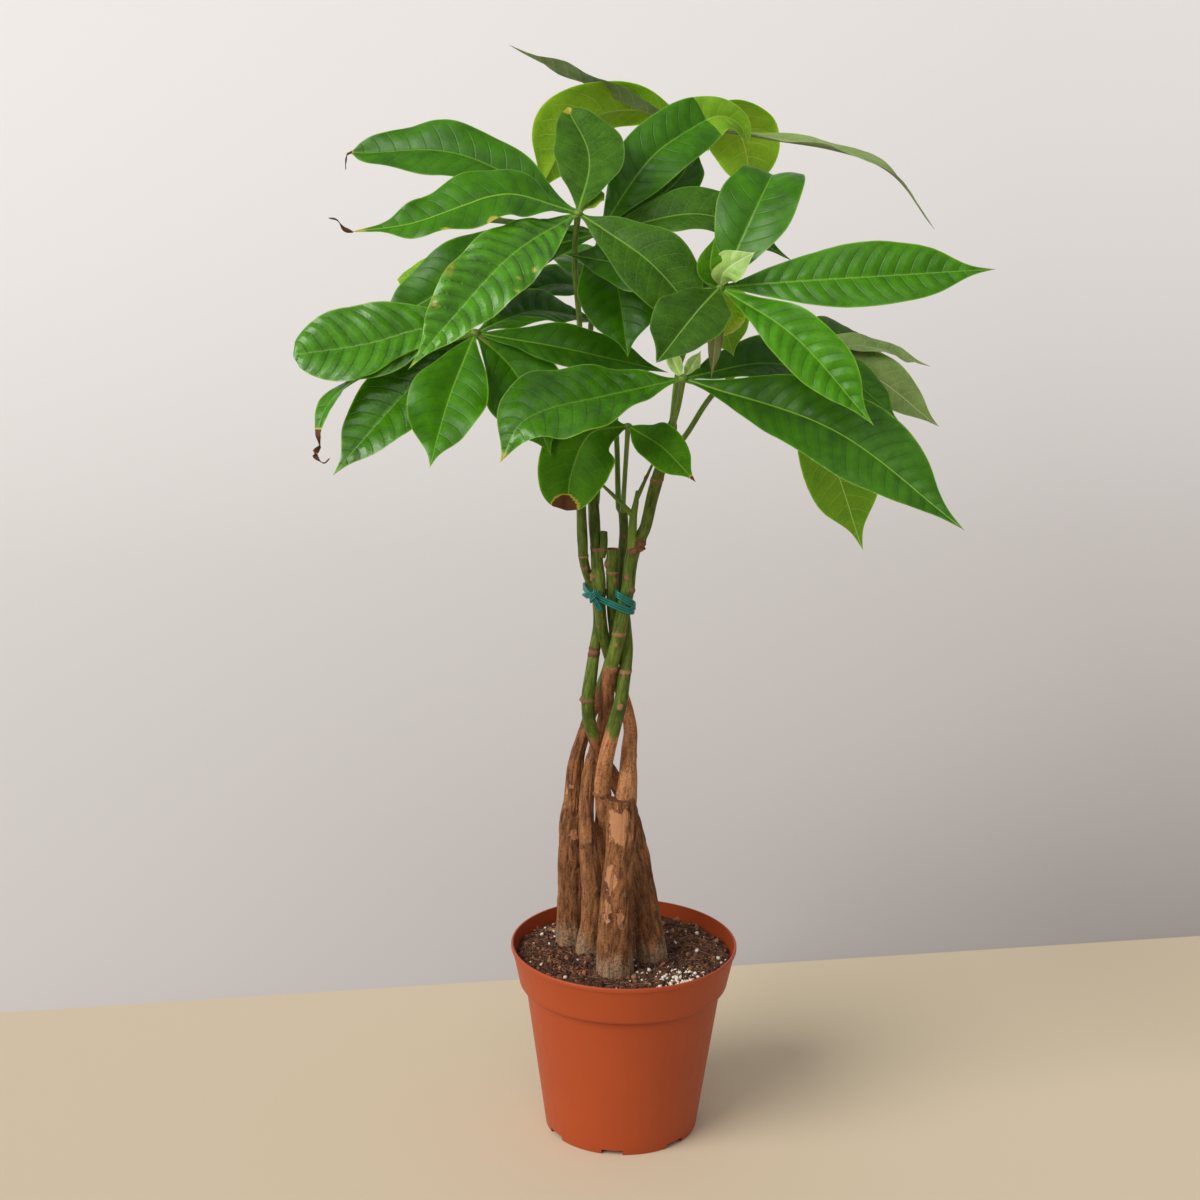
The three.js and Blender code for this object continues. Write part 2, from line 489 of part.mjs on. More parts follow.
// Hubs and leaflet ribs, measured from the photo with the pot's rim as the rule.
const LEAVES = {
  leaf_upper_left: {
    colour: LEAF_DULL,
    hub: [-35, -45, 614],
    stalk: [[-32, -7, 447], [-33, 0, 490], [-34, 6, 530], [-34, 3, 543], [-37, -24, 585]],
    leaflets: [
      { path: [[6, 45, 29], [-8, 80, 57]], width: 46, lean: 30, peak: 0.58, tip: 0.85 },
      { path: [[-68, 0, 31], [-137, 15, 30]], width: 46, lean: 45, wave: 2 },
      { path: [[-65, -15, 11], [-130, -30, -1]], width: 44, lean: 42, wave: 2.2, fold: 0.25 },
      { path: [[-42, -50, -28], [-93, -95, -79]], width: 50, lean: 55, wave: 2, peak: 0.5 },
      { path: [[42, -20, -25], [76, -26, -62]], width: 48, lean: 50, wave: 1.6, peak: 0.6 },
      { path: [[8, 20, 6], [14, 35, 11]], width: 15, lean: 30 },
    ],
  },
  leaf_upper_middle: {
    colour: LEAF_BRIGHT,
    hub: [-22, 8, 597],
    stalk: [[-25, 9.6, 433.5], [-28, 10, 480], [-27, 8, 537]],
    leaflets: [
      { path: [[24, 20, 44], [73, 38, 84], [93, 52, 56]], width: 50, lean: 50, peak: 0.46, tip: 0.9 },
      { path: [[64, -5, 13], [119, 5, -16]], width: 46, lean: 35 },
      { path: [[45, 35, 27], [61, 55, 52]], width: 40, lean: 40 },
      { path: [[11, -30, -28], [18, -50, -69]], width: 52, lean: 60 },
      { path: [[-45, 15, 2], [-89, 25, 6]], width: 36, lean: 0 },
      { path: [[-71, -5, -22], [-144, -15, -65]], width: 54, lean: 50 },
      { path: [[-70, 45, -10], [-137, 80, -38]], width: 48, lean: 40 },
    ],
  },
  leaf_right: {
    colour: LEAF_BRIGHT,
    hub: [49, -65, 574],
    stalk: [[24, -32, 489], [28, -34, 525], [42, -54, 560]],
    leaflets: [
      { path: [[76, 0, 6], [162, 5, 12]], width: 42, lean: 60, wave: 0.8 },
      { path: [[45, -25, -27], [88, -50, -72]], width: 42, lean: 50 },
      { path: [[14, 10, 29], [36, 28, 58], [50, 58, 42]], width: 50, lean: 40, peak: 0.5, tip: 0.8 },
      { path: [[-18, -40, -13], [-38, -70, -34]], width: 46, lean: 45, tip: 0.9 },
      { path: [[1, -5, 15], [10, 5, 27]], width: 22, lean: 50, fold: 0.7 },
      { path: [[14, 25, -22], [26, 30, -43]], width: 34, lean: 40 },
      { path: [[-1, 8, -27], [-3, 12, -56]], width: 9, lean: 60 },
      { path: [[-47, 22, 8], [-92, 28, 15]], width: 34, lean: 55 },
    ],
  },
  leaf_lower_right: {
    colour: LEAF_DEEP,
    hub: [29, -50, 517],
    stalk: [[24, -36.5, 486], [27, -43, 500]],
    leaflets: [
      { path: [[-51, -22, -8], [-92, -45, -18], [-107, -58, -41]], width: 54, lean: 45, peak: 0.62 },
      { path: [[88, -30, -24], [164, -60, -77]], width: 58, lean: 45 },
      { path: [[51, 25, 6], [105, 40, -10]], width: 40, lean: 35 },
      { path: [[-4, 10, 6], [-10, 12, 20]], width: 9, lean: 70 },
      { path: [[5, 8, 5], [11, 8, 16]], width: 9, lean: 70 },
    ],
  },
  leaf_left: {
    colour: LEAF_DEEP,
    hub: [-97, -25, 539],
    stalk: [[-37, -12, 441], [-56, -20, 485], [-82, -25, 524]],
    leaflets: [
      { path: [[-30, -8, 4], [-64, -15, -9], [-109, -22, -11]], width: 52, lean: 55, peak: 0.66, tip: 0.6 },
      { path: [[-45, -12, -2], [-76, -35, -27], [-88, -50, -65]], width: 34, lean: 45 },
      { path: [[-42, -35, -31], [-79, -70, -73]], width: 46, lean: 45 },
      { path: [[-14, -30, -36], [-23, -60, -72]], width: 46, lean: 50 },
      { path: [[26, -5, -25], [47, -20, -71]], width: 50, lean: 55 },
      { path: [[61, 2, -10], [118, 8, -24]], width: 34, lean: 42 },
      { path: [[38, 39, 9], [76, 66, -2]], width: 38, lean: 25 },
    ],
  },
  leaf_top_rear: {
    colour: LEAF_YOUNG,
    hub: [40, 88, 656],
    stalk: [[-21.5, 12.5, 432], [-18, 30, 500], [-8, 46, 570], [6, 55, 618]],
    leaflets: [
      { path: [[-38, 0, 12], [-76, -14, 2], [-103, -26, -41]], width: 54, lean: -50, peak: 0.62 },
      { path: [[-56, -8, 20], [-121, -15, 51]], width: 38, lean: -14 },
      { path: [[42, -8, -4], [85, -14, -11], [123, -18, -26], [152, -22, -60]], width: 42, lean: -3 },
      { path: [[21, 15, 6], [33, 30, -15], [37, 35, -48]], width: 48, lean: -50 },
      { path: [[5, 60, 4], [12, 115, -22]], width: 46, lean: -20 },
    ],
  },
  leaf_right_rear: {
    colour: LEAF_DULL,
    hub: [99, 70, 517],
    stalk: [[23.4, -19.6, 464], [34, -5, 475], [52, 20, 497], [80, 54, 513]],
    leaflets: [
      { path: [[36, 35, 5], [73, 60, -12]], width: 42, lean: 20 },
      { path: [[50, 10, 2], [99, 25, -14]], width: 36, lean: 15 },
      { path: [[55, -5, -15], [101, -15, -47]], width: 40, lean: 45 },
      { path: [[40, -25, -14], [72, -40, -40]], width: 30, lean: 30 },
      { path: [[8, -10, -28], [31, -25, -67], [52, -40, -124]], width: 56, lean: -45 },
    ],
  },
  leaf_low_front: {
    colour: LEAF_YOUNG,
    hub: [-3, -20, 482],
    stalk: [[-5, 2.5, 429], [-4, -8, 456]],
    stalkR: 1.6,
    hubR: 3.2,
    leaflets: [
      { path: [[-23, -12, -3], [-34, -22, -24], [-37, -26, -48]], width: 48, lean: 60, tip: 0.6 },
      { path: [[20, -28, -7], [41, -36, -27]], width: 28, lean: 60 },
    ],
  },
  leaf_rear: {
    colour: LEAF_DEEP,
    hub: [-18, 75, 552],
    stalk: [[-8, 14.5, 427], [-10, 34, 470], [-15, 58, 520]],
    leaflets: [
      { path: [[-31, -20, 7], [-64, -30, -2]], width: 34, lean: 30 },
      { path: [[-17, 20, 17], [-34, 45, 20]], width: 34, lean: 30 },
      { path: [[10, 50, 8], [25, 100, -18]], width: 48, lean: -20 },
      { path: [[-50, 40, 8], [-100, 75, -22]], width: 48, lean: -10 },
      { path: [[50, 25, 8], [98, 50, -20]], width: 48, lean: 0 },
    ],
  },
};

// --- Assembly ------------------------------------------------------------

const plant = new THREE.Group();

/** Adds one named piece with its colour and roughness. */
function place(name, manifold, [colour, roughness]) {
  const material = new THREE.MeshStandardMaterial({ color: colour, roughness, metalness: 0 });
  const mesh = new THREE.Mesh(shape(manifold), material);
  mesh.name = name;
  plant.add(mesh);
}

place('pot', makePot(), TERRACOTTA);
place('soil', makeSoil(), PEAT);
for (const [name, stem] of Object.entries(STEMS)) {
  place(name, makeStem(stem), BARK);
}
place('twist_tie', makeTie(), TEAL);
for (const [name, spec] of Object.entries(LEAVES)) {
  place(name, leaf(spec), spec.colour);
}

export default plant;
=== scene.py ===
"""Potted money tree: the looks of the plant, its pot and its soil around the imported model.

Sizes inside the classes are millimetres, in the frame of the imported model: +Z up, origin at
the middle of the pot's underside, front towards -Y. Meshes are scaled to metres when made.
"""
import logging
import math
from dataclasses import dataclass, field
from enum import Enum
from typing import ClassVar, Optional, Sequence

import bpy
import numpy as np
from mathutils import Euler, Matrix, Vector


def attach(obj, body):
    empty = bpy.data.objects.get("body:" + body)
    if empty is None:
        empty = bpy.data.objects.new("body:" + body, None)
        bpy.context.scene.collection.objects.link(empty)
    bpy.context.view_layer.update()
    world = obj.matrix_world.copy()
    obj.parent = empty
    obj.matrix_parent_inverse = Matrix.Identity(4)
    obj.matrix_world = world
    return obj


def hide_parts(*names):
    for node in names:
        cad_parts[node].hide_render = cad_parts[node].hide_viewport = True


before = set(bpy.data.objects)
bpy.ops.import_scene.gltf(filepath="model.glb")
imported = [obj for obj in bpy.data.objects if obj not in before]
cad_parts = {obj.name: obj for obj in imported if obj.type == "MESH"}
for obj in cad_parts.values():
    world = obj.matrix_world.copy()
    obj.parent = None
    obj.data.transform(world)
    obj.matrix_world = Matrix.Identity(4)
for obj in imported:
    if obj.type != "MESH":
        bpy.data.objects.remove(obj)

LOG = logging.getLogger("money_tree")
MM = 0.001
BODY = "root"

Point = tuple[float, float, float]
Section = tuple[float, float, float, float]
Array = np.ndarray
Draws = np.random.Generator
Object = bpy.types.Object
Material = bpy.types.Material
Tree = bpy.types.NodeTree
Node = bpy.types.Node
Socket = bpy.types.NodeSocket


# --- Small tools ---


def linear(code: str) -> tuple[float, float, float, float]:
    """Turns an sRGB hex colour to linear light.

    Args:
        code: Colour such as "#a9482a".

    Returns:
        Red, green, blue and an alpha of 1.
    """
    parts = [int(code[i:i + 2], 16) / 255 for i in (1, 3, 5)]
    low, curve = 12.92, 2.4
    light = [c / low if c <= 0.04045 else ((c + 0.055) / 1.055) ** curve for c in parts]
    return (*light, 1.0)


def per_mm(size: float) -> float:
    """Texture scale that makes one feature of a pattern about size millimetres wide."""
    return 1 / (size * MM)


def feed(tree: Tree, node: Node, links: dict) -> None:
    """Gives a node its inputs.

    Args:
        tree: Node tree that holds the node.
        node: Node to feed.
        links: Input name or number against a value, a hex colour, a socket, or a node to
            link from.
    """
    for key, value in links.items():
        if isinstance(value, str):
            value = linear(value)
        if isinstance(value, Node):
            value = next(socket for socket in value.outputs if socket.enabled)
        if isinstance(value, Socket):
            tree.links.new(value, node.inputs[key])
        else:
            node.inputs[key].default_value = value


def add_node(tree: Tree, kind: str, links: Optional[dict] = None, **settings) -> Node:
    """Adds a shader node. A Mix node mixes colours.

    Args:
        tree: Node tree that gets the node.
        kind: Node type without its "ShaderNode" prefix.
        links: What it is fed, by input name or number.
        settings: Properties of the node.

    Returns:
        The new node.
    """
    node = tree.nodes.new("ShaderNode" + kind)
    if kind == "Mix":
        settings["data_type"] = "RGBA"
    for key, value in settings.items():
        setattr(node, key, value)
    feed(tree, node, links or {})
    return node


def smooth(value: Array, low: float, high: float) -> Array:
    """Soft step from 0 at low to 1 at high."""
    t = np.clip((value - low) / (high - low), 0, 1)
    return t * t * (3 - 2 * t)


def chance(n: float) -> float:
    """Repeatable pseudo-random number in 0..1 for a number, as in the part's source."""
    x = math.sin(n * 127.1 + 311.7) * 43758.5453
    return x - math.floor(x)


def bumpy(points: Array, seed: float = 0.0) -> Array:
    """Smooth random field.

    Args:
        points: Rows of coordinates, one feature of the field for each unit.
        seed: Picks another field.

    Returns:
        A value in -1..1 for each row.
    """
    cell = np.floor(points)
    part = points - cell
    part = part * part * (3 - 2 * part)
    total = np.zeros(points.shape[:-1])
    for corner in np.ndindex(*(2,) * points.shape[-1]):
        at = cell + corner
        mixed = at @ np.array([127.1, 311.7, 74.7][:points.shape[-1]]) + seed * 19.19
        value = np.sin(mixed) * 43758.5453
        value = value - np.floor(value)
        share = np.prod(np.where(np.array(corner) == 1, part, 1 - part), axis=-1)
        total += value * share
    return total * 2 - 1


def link(made: Object) -> None:
    """Puts an object in the scene."""
    bpy.context.scene.collection.objects.link(made)


class Line:
    """Smooth line through points, the same curve as in the part's source."""

    def __init__(self, stops: Sequence[Sequence[float]], per_span: int = 64) -> None:
        """Samples the curve finely.

        Args:
            stops: Points that the curve passes through.
            per_span: Samples between two points.
        """
        p = np.array(stops, float)
        p = np.vstack([2 * p[0] - p[1], p, 2 * p[-1] - p[-2]])
        t = np.linspace(0, 1, per_span, endpoint=False)[:, None]
        spans = []
        for a, b, c, d in zip(p[:-3], p[1:-2], p[2:-1], p[3:]):
            m0, m1 = (c - a) / 2, (d - b) / 2
            spans.append(b + m0 * t + (3 * (c - b) - 2 * m0 - m1) * t ** 2
                         + (2 * (b - c) + m0 + m1) * t ** 3)
        self.samples = np.vstack([*spans, p[-2][None]])
        steps = np.linalg.norm(np.diff(self.samples[:, :3], axis=0), axis=1)
        self.reach = np.concatenate([[0], np.cumsum(steps)])
        self.length = float(self.reach[-1])

    def at(self, share: Array) -> Array:
        """Points at shares of the curve's length."""
        want = np.asarray(share) * self.length
        return np.stack([np.interp(want, self.reach, c) for c in self.samples.T], -1)

    def along(self, share: Array) -> Array:
        """Unit tangents at shares of the curve's length."""
        step = 0.004
        share = np.asarray(share)
        ahead = self.at(np.clip(share + step, 0, 1))[..., :3]
        behind = self.at(np.clip(share - step, 0, 1))[..., :3]
        way = ahead - behind
        return way / np.linalg.norm(way, axis=-1, keepdims=True)


class Form:
    """Collects shells of points and faces, and makes one object of them."""

    def __init__(self) -> None:
        """Starts with no shells."""
        self.points: list[Array] = []
        self.faces: list[list[int]] = []
        self.looks: list[Array] = []
        self.facts: dict[str, list[Array]] = {}
        self.count = 0

    def add(self, points: Array, faces: list, looks: Array, facts: dict[str, Array]) -> None:
        """Adds one shell.

        Args:
            points: Rows of x, y, z in millimetres.
            faces: Lists of point numbers within the shell.
            looks: Material number of each face.
            facts: Named values for each point, one or three numbers a row.
        """
        self.points.append(points.reshape(-1, 3))
        self.faces.extend([[i + self.count for i in f] for f in faces])
        self.looks.append(np.asarray(looks, np.int32))
        for name, values in facts.items():
            self.facts.setdefault(name, []).append(np.asarray(values, np.float32))
        self.count += points.reshape(-1, 3).shape[0]

    def skin(self, rings: Array, looks: Array, facts: dict[str, Array],
             closed: bool = False) -> None:
        """Adds a shell that runs through rings of points.

        Args:
            rings: Array of rings, points in a ring, and x, y, z.
            looks: Material number for each strip between neighbours of a ring, or a table
                with a row of them for each ring.
            facts: Named values for each point, shaped like the rings.
            closed: Whether the last ring joins the first. Otherwise both ends are capped.
        """
        m, n = rings.shape[:2]
        i, j = np.meshgrid(np.arange(m if closed else m - 1), np.arange(n), indexing="ij")
        k, nxt = (j + 1) % n, (i + 1) % m
        quads = np.stack([i * n + j, i * n + k, nxt * n + k, nxt * n + j], -1).reshape(-1, 4)
        faces = quads.tolist()
        table = np.broadcast_to(looks, i.shape)
        face_looks = table.reshape(-1)
        if not closed:
            faces.append(list(range(n - 1, -1, -1)))
            faces.append([(m - 1) * n + a for a in range(n)])
            face_looks = np.concatenate([face_looks, [table[0, 0], table[-1, 0]]])
        flat = {name: np.asarray(v).reshape(m * n, -1).squeeze(-1) if np.asarray(v).ndim == 2
                else np.asarray(v).reshape(m * n, -1) for name, v in facts.items()}
        self.add(rings, faces, face_looks, flat)

    def build(self, name: str, materials: Sequence[Material], crease: float = 50.0) -> Object:
        """Makes the object.

        Args:
            name: Name of the object and its mesh.
            materials: One material for each material number.
            crease: Edges that bend more than this many degrees stay crisp.

        Returns:
            The object, linked to the scene.
        """
        mesh = bpy.data.meshes.new(name)
        mesh.from_pydata((np.vstack(self.points) * MM).tolist(), [], self.faces)
        for material in materials:
            mesh.materials.append(material)
        mesh.polygons.foreach_set("material_index", np.concatenate(self.looks))
        for fact, parts in self.facts.items():
            values = np.concatenate(parts)
            vector = values.ndim == 2
            kind = "FLOAT_VECTOR" if vector else "FLOAT"
            layer = mesh.attributes.new(fact, kind, "POINT")
            layer.data.foreach_set("vector" if vector else "value", values.ravel())
        mesh.shade_smooth()
        mesh.set_sharp_from_angle(angle=math.radians(crease))
        mesh.update()
        made = bpy.data.objects.new(name, mesh)
        link(made)
        return made


def tube(stops: Sequence[Section], sides: int, pitch: float,
         per_span: int = 32) -> tuple[Array, Array, Array, Array]:
    """Rings of a round rod of changing radius.

    Args:
        stops: x, y, z and radius of points along its middle.
        sides: Points in a ring.
        pitch: Distance between rings.
        per_span: Samples between two stops.

    Returns:
        Ring centres, outward directions of each ring's points, radii and distances along it.
    """
    stops = np.array(stops, float)
    line = Line(stops[:, :3], per_span)
    spans = len(stops) - 1
    knots = line.reach[::per_span]
    rings = max(3, round(line.length / pitch) + 1)
    share = np.linspace(0, 1, rings)
    centre, along = line.at(share), line.along(share)
    radius = np.interp(share * line.length, knots[:spans + 1], stops[:, 3])
    across = np.array([1.0, 0.0, 0.0])
    turn = 2 * np.pi * np.arange(sides) / sides
    out = np.empty((rings, sides, 3))
    for i in range(rings):
        across = across - along[i] * (across @ along[i])
        across /= np.linalg.norm(across)
        other = np.cross(along[i], across)
        out[i] = np.cos(turn)[:, None] * across + np.sin(turn)[:, None] * other
    return centre, out, radius, share * line.length


def drape(piece: Object, slot: str, *nodes: str) -> Object:
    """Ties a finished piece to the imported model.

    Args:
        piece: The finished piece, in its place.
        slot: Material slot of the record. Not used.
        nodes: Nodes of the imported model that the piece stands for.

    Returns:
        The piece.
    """
    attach(piece, BODY)
    if nodes:
        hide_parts(*nodes)
    faces = len(piece.data.polygons)
    LOG.info("made %s with %d faces for %s", piece.name, faces, ", ".join(nodes) or "itself")
    return piece


def mesh_facts(tree: Tree, name: str) -> Sequence[Socket]:
    """The three numbers that a mesh carries at each point under a name."""
    fact = add_node(tree, "Attribute", attribute_name=name)
    return tuple(add_node(tree, "SeparateXYZ", {0: fact.outputs["Vector"]}).outputs)


def fresh(name: str) -> tuple[Material, Tree, Node]:
    """New material with its node tree and its shader."""
    material = bpy.data.materials.new(name)
    material.use_nodes = True
    return material, material.node_tree, material.node_tree.nodes["Principled BSDF"]


# --- Finishes ---

VEIN_OFFSET = 0.35  # The left side's veins leave the rib this share of a pitch from the right's.


class LeafLook(Enum):
    """How a leaflet meets the light."""

    GLOSSY = "glossy"
    SHINY = "shiny"
    DULL = "dull"
    DEEP = "deep"
    # Painted backlight: leaflets with this look get brighter yellow-green colours in place of
    # light shining through them.
    BACKLIT = "backlit"
    PALE = "pale"
    # Partly painted sheen: this look's pale grey-green stands for a waxy bloom and for the sheen
    # of light glancing off the leaf.
    GREY = "grey"
    MATTE = "matte"
    WILTED = "wilted"


@dataclass(frozen=True)
class LeafFinish:
    """Leaf skin: a waxy cuticle over green tissue, so soft gloss over a mottled matte green."""

    name: str
    dark: str
    light: str
    vein: str
    rib: str
    edge: str
    roughness: float
    dust: float = 0.0
    vein_share: float = 0.35
    bump: float = 0.35
    glow: float = 0.3
    gloss: float = 0.45
    yellow: ClassVar[str] = "#a8a33a"
    brown: ClassVar[str] = "#5a3a22"
    ior: ClassVar[float] = 1.45
    mottle_mm: ClassVar[float] = 14.0
    net_mm: ClassVar[float] = 2.6
    rib_mm: ClassVar[float] = 0.95
    ragged_mm: ClassVar[float] = 3.0
    smear_mm: ClassVar[float] = 9.0
    grain_mm: ClassVar[float] = 1.6
    through: ClassVar[Point] = (0.45, 0.8, 0.12)

    def material(self) -> Material:
        """Makes the material.

        Returns:
            Leaf skin whose veins follow the leaflet's own coordinates.
        """
        material, tree, skin = fresh(self.name)
        place = add_node(tree, "TexCoord").outputs["Object"]
        share, across, phase = mesh_facts(tree, "blade")
        from_rib, from_edge, age = mesh_facts(tree, "reach")
        gap, fade, veins = self.side_veins(tree, across, phase)
        quilted = add_node(tree, "Attribute", attribute_name="quilted")
        swell = add_node(tree, "Math", {0: gap, 1: quilted.outputs["Fac"]}, operation="MULTIPLY")

        # The finest veins show as a faint net over a mottled green.
        cells = add_node(tree, "TexVoronoi", {"Vector": place, "Scale": per_mm(self.net_mm)},
                         feature="DISTANCE_TO_EDGE")
        net = add_node(
            tree, "MapRange", {0: cells.outputs["Distance"], 1: 0.0, 2: 0.12, 3: 0.22, 4: 0.0})
        mottle = add_node(tree, "TexNoise", {"Vector": place, "Scale": per_mm(self.mottle_mm),
                          "Detail": 4.0, "Roughness": 0.6})
        spread = add_node(tree, "MapRange", {0: mottle, 1: 0.32, 2: 0.68})
        cloud = add_node(tree, "MapRange", {0: spread, 3: 0.1, 4: 0.85})
        # Painted highlight and shade: where the tissue swells between the side veins the green is
        # painted lighter, and darker at the sunken veins, over the mottle.
        between = add_node(
            tree, "Math", {0: swell, 1: 0.6, 2: cloud}, operation="MULTIPLY_ADD", use_clamp=True)
        colour = add_node(tree, "Mix", {0: between, 6: self.dark, 7: self.light})
        lit = add_node(
            tree, "Math", {0: veins, 1: self.vein_share, 2: net}, operation="MULTIPLY_ADD")
        margin = add_node(tree, "MapRange", {0: from_edge, 1: 0.25, 2: 1.1, 3: 0.55, 4: 0.0},
                          interpolation_type="SMOOTHSTEP")
        yellowing, browning = self.ageing(tree, place, age)
        for cover, coat in [(lit, self.vein), (self.midrib(tree, share, from_rib), self.rib),
                            (margin, self.edge), (yellowing, self.yellow),
                            (browning, self.brown)]:
            colour = add_node(tree, "Mix", {0: cover, 6: colour, 7: coat})
        tone = add_node(tree, "Attribute", attribute_name="tone")
        level = add_node(
            tree, "MapRange", {0: tone.outputs["Fac"], 1: -1.0, 2: 1.0, 3: 0.86, 4: 1.14})
        shade = add_node(tree, "HueSaturation", {"Value": level, "Color": colour})

        # Dust and dried water leave duller patches, and dead tissue has no wax.
        smear = add_node(tree, "TexNoise", {"Vector": place, "Scale": per_mm(self.smear_mm),
                         "Detail": 5.0, "Roughness": 0.7})
        rough = add_node(tree, "MapRange", {0: smear, 1: 0.35, 2: 0.7,
                         3: self.roughness - 0.05, 4: self.roughness + 0.12 + self.dust})
        dull = add_node(tree, "Math", {0: browning, 1: 0.3, 2: rough}, operation="MULTIPLY_ADD")
        feed(tree, skin, {
            "Base Color": shade, "Roughness": dull,
            "IOR": self.ior, "Specular IOR Level": self.gloss, "Subsurface Weight": self.glow,
            "Subsurface Radius": self.through, "Subsurface Scale": MM,
            "Normal": self.relief(tree, place, swell, fade, veins, net)})
        return material

    @staticmethod
    def side_veins(tree: Tree, across: Socket, phase: Socket) -> tuple[Node, Node, Node]:
        """Side veins, which leave the rib in turn, left and right.

        Args:
            tree: Gets the nodes.
            across: Place across the blade, from -1 to 1.
            phase: Place along the blade, counted in veins.

        Returns:
            Distance from the nearest vein, how strong it is so far out, and the veins.
        """
        left = add_node(tree, "Math", {0: across, 1: 0.0}, operation="LESS_THAN")
        turn = add_node(
            tree, "Math", {0: left, 1: VEIN_OFFSET, 2: phase}, operation="MULTIPLY_ADD")
        gap = add_node(tree, "Math", {0: turn, 1: 0.5}, operation="PINGPONG")
        line = add_node(tree, "MapRange", {0: gap, 1: 0.0, 2: 0.07, 3: 1.0, 4: 0.0},
                        interpolation_type="SMOOTHSTEP")
        wide = add_node(tree, "Math", {0: across}, operation="ABSOLUTE")
        fade = add_node(tree, "MapRange", {0: wide, 1: 0.6, 2: 1.0, 3: 1.0, 4: 0.1},
                        interpolation_type="SMOOTHSTEP")
        veins = add_node(tree, "Math", {0: line, 1: fade}, operation="MULTIPLY")
        return gap, fade, veins

    def midrib(self, tree: Tree, share: Socket, from_rib: Socket) -> Node:
        """The rib, a pale line that tapers to the tip.

        Args:
            tree: Gets the nodes.
            share: Place along the blade, from 0 to 1.
            from_rib: Distance from the rib in millimetres.

        Returns:
            How much of the rib's colour shows.
        """
        width = add_node(
            tree, "MapRange", {0: share, 1: 0.0, 2: 1.0, 3: self.rib_mm, 4: 0.35 * self.rib_mm})
        ratio = add_node(tree, "Math", {0: from_rib, 1: width}, operation="DIVIDE")
        middle = add_node(tree, "MapRange", {0: ratio, 1: 0.35, 2: 1.0, 3: 1.0, 4: 0.0},
                          interpolation_type="SMOOTHSTEP")
        shown = add_node(tree, "Attribute", attribute_name="midrib")
        return add_node(tree, "Math", {0: middle, 1: shown.outputs["Fac"]}, operation="MULTIPLY")

    def ageing(self, tree: Tree, place: Socket, age: Socket) -> tuple[Node, Node]:
        """Age, which turns the tissue yellow, then brown, with a ragged front.

        Args:
            tree: Gets the nodes.
            place: Place on the leaf.
            age: Age of the tissue, from 0 to 1.

        Returns:
            How yellow and how brown it is.
        """
        ragged = add_node(
            tree, "TexNoise", {"Vector": place, "Scale": per_mm(self.ragged_mm), "Detail": 3.0})
        older = add_node(tree, "Math", {0: ragged, 1: 0.5, 2: age}, operation="MULTIPLY_ADD")
        yellowing = add_node(
            tree, "MapRange", {0: older, 1: 0.35, 2: 0.7}, interpolation_type="SMOOTHSTEP")
        browning = add_node(
            tree, "MapRange", {0: older, 1: 0.85, 2: 1.05}, interpolation_type="SMOOTHSTEP")
        return yellowing, browning

    def relief(self, tree: Tree, place: Socket, swell: Node, fade: Node, veins: Node,
               net: Node) -> Node:
        """Small relief: sunken veins, swellings between them and a fine grain.

        Args:
            tree: Gets the nodes.
            place: Place on the leaf.
            swell: How far the blade swells between the veins.
            fade: How strong the veins are so far out.
            veins: Side veins.
            net: Finest veins.

        Returns:
            The bumped normal.
        """
        grain = add_node(
            tree, "TexNoise", {"Vector": place, "Scale": per_mm(self.grain_mm), "Detail": 2.0})
        shallow = add_node(tree, "Math", {0: net, 1: 0.25}, operation="MULTIPLY")
        low = add_node(tree, "Math", {0: veins, 1: -0.5, 2: shallow}, operation="MULTIPLY_ADD")
        puffed = add_node(tree, "Math", {0: swell, 1: 2.0}, operation="MULTIPLY")
        swollen = add_node(tree, "Math", {0: puffed, 1: fade, 2: low}, operation="MULTIPLY_ADD")
        height = add_node(tree, "Math", {0: grain, 1: 0.2, 2: swollen}, operation="MULTIPLY_ADD")
        return add_node(
            tree, "Bump", {"Strength": self.bump, "Distance": 0.4 * MM, "Height": height})


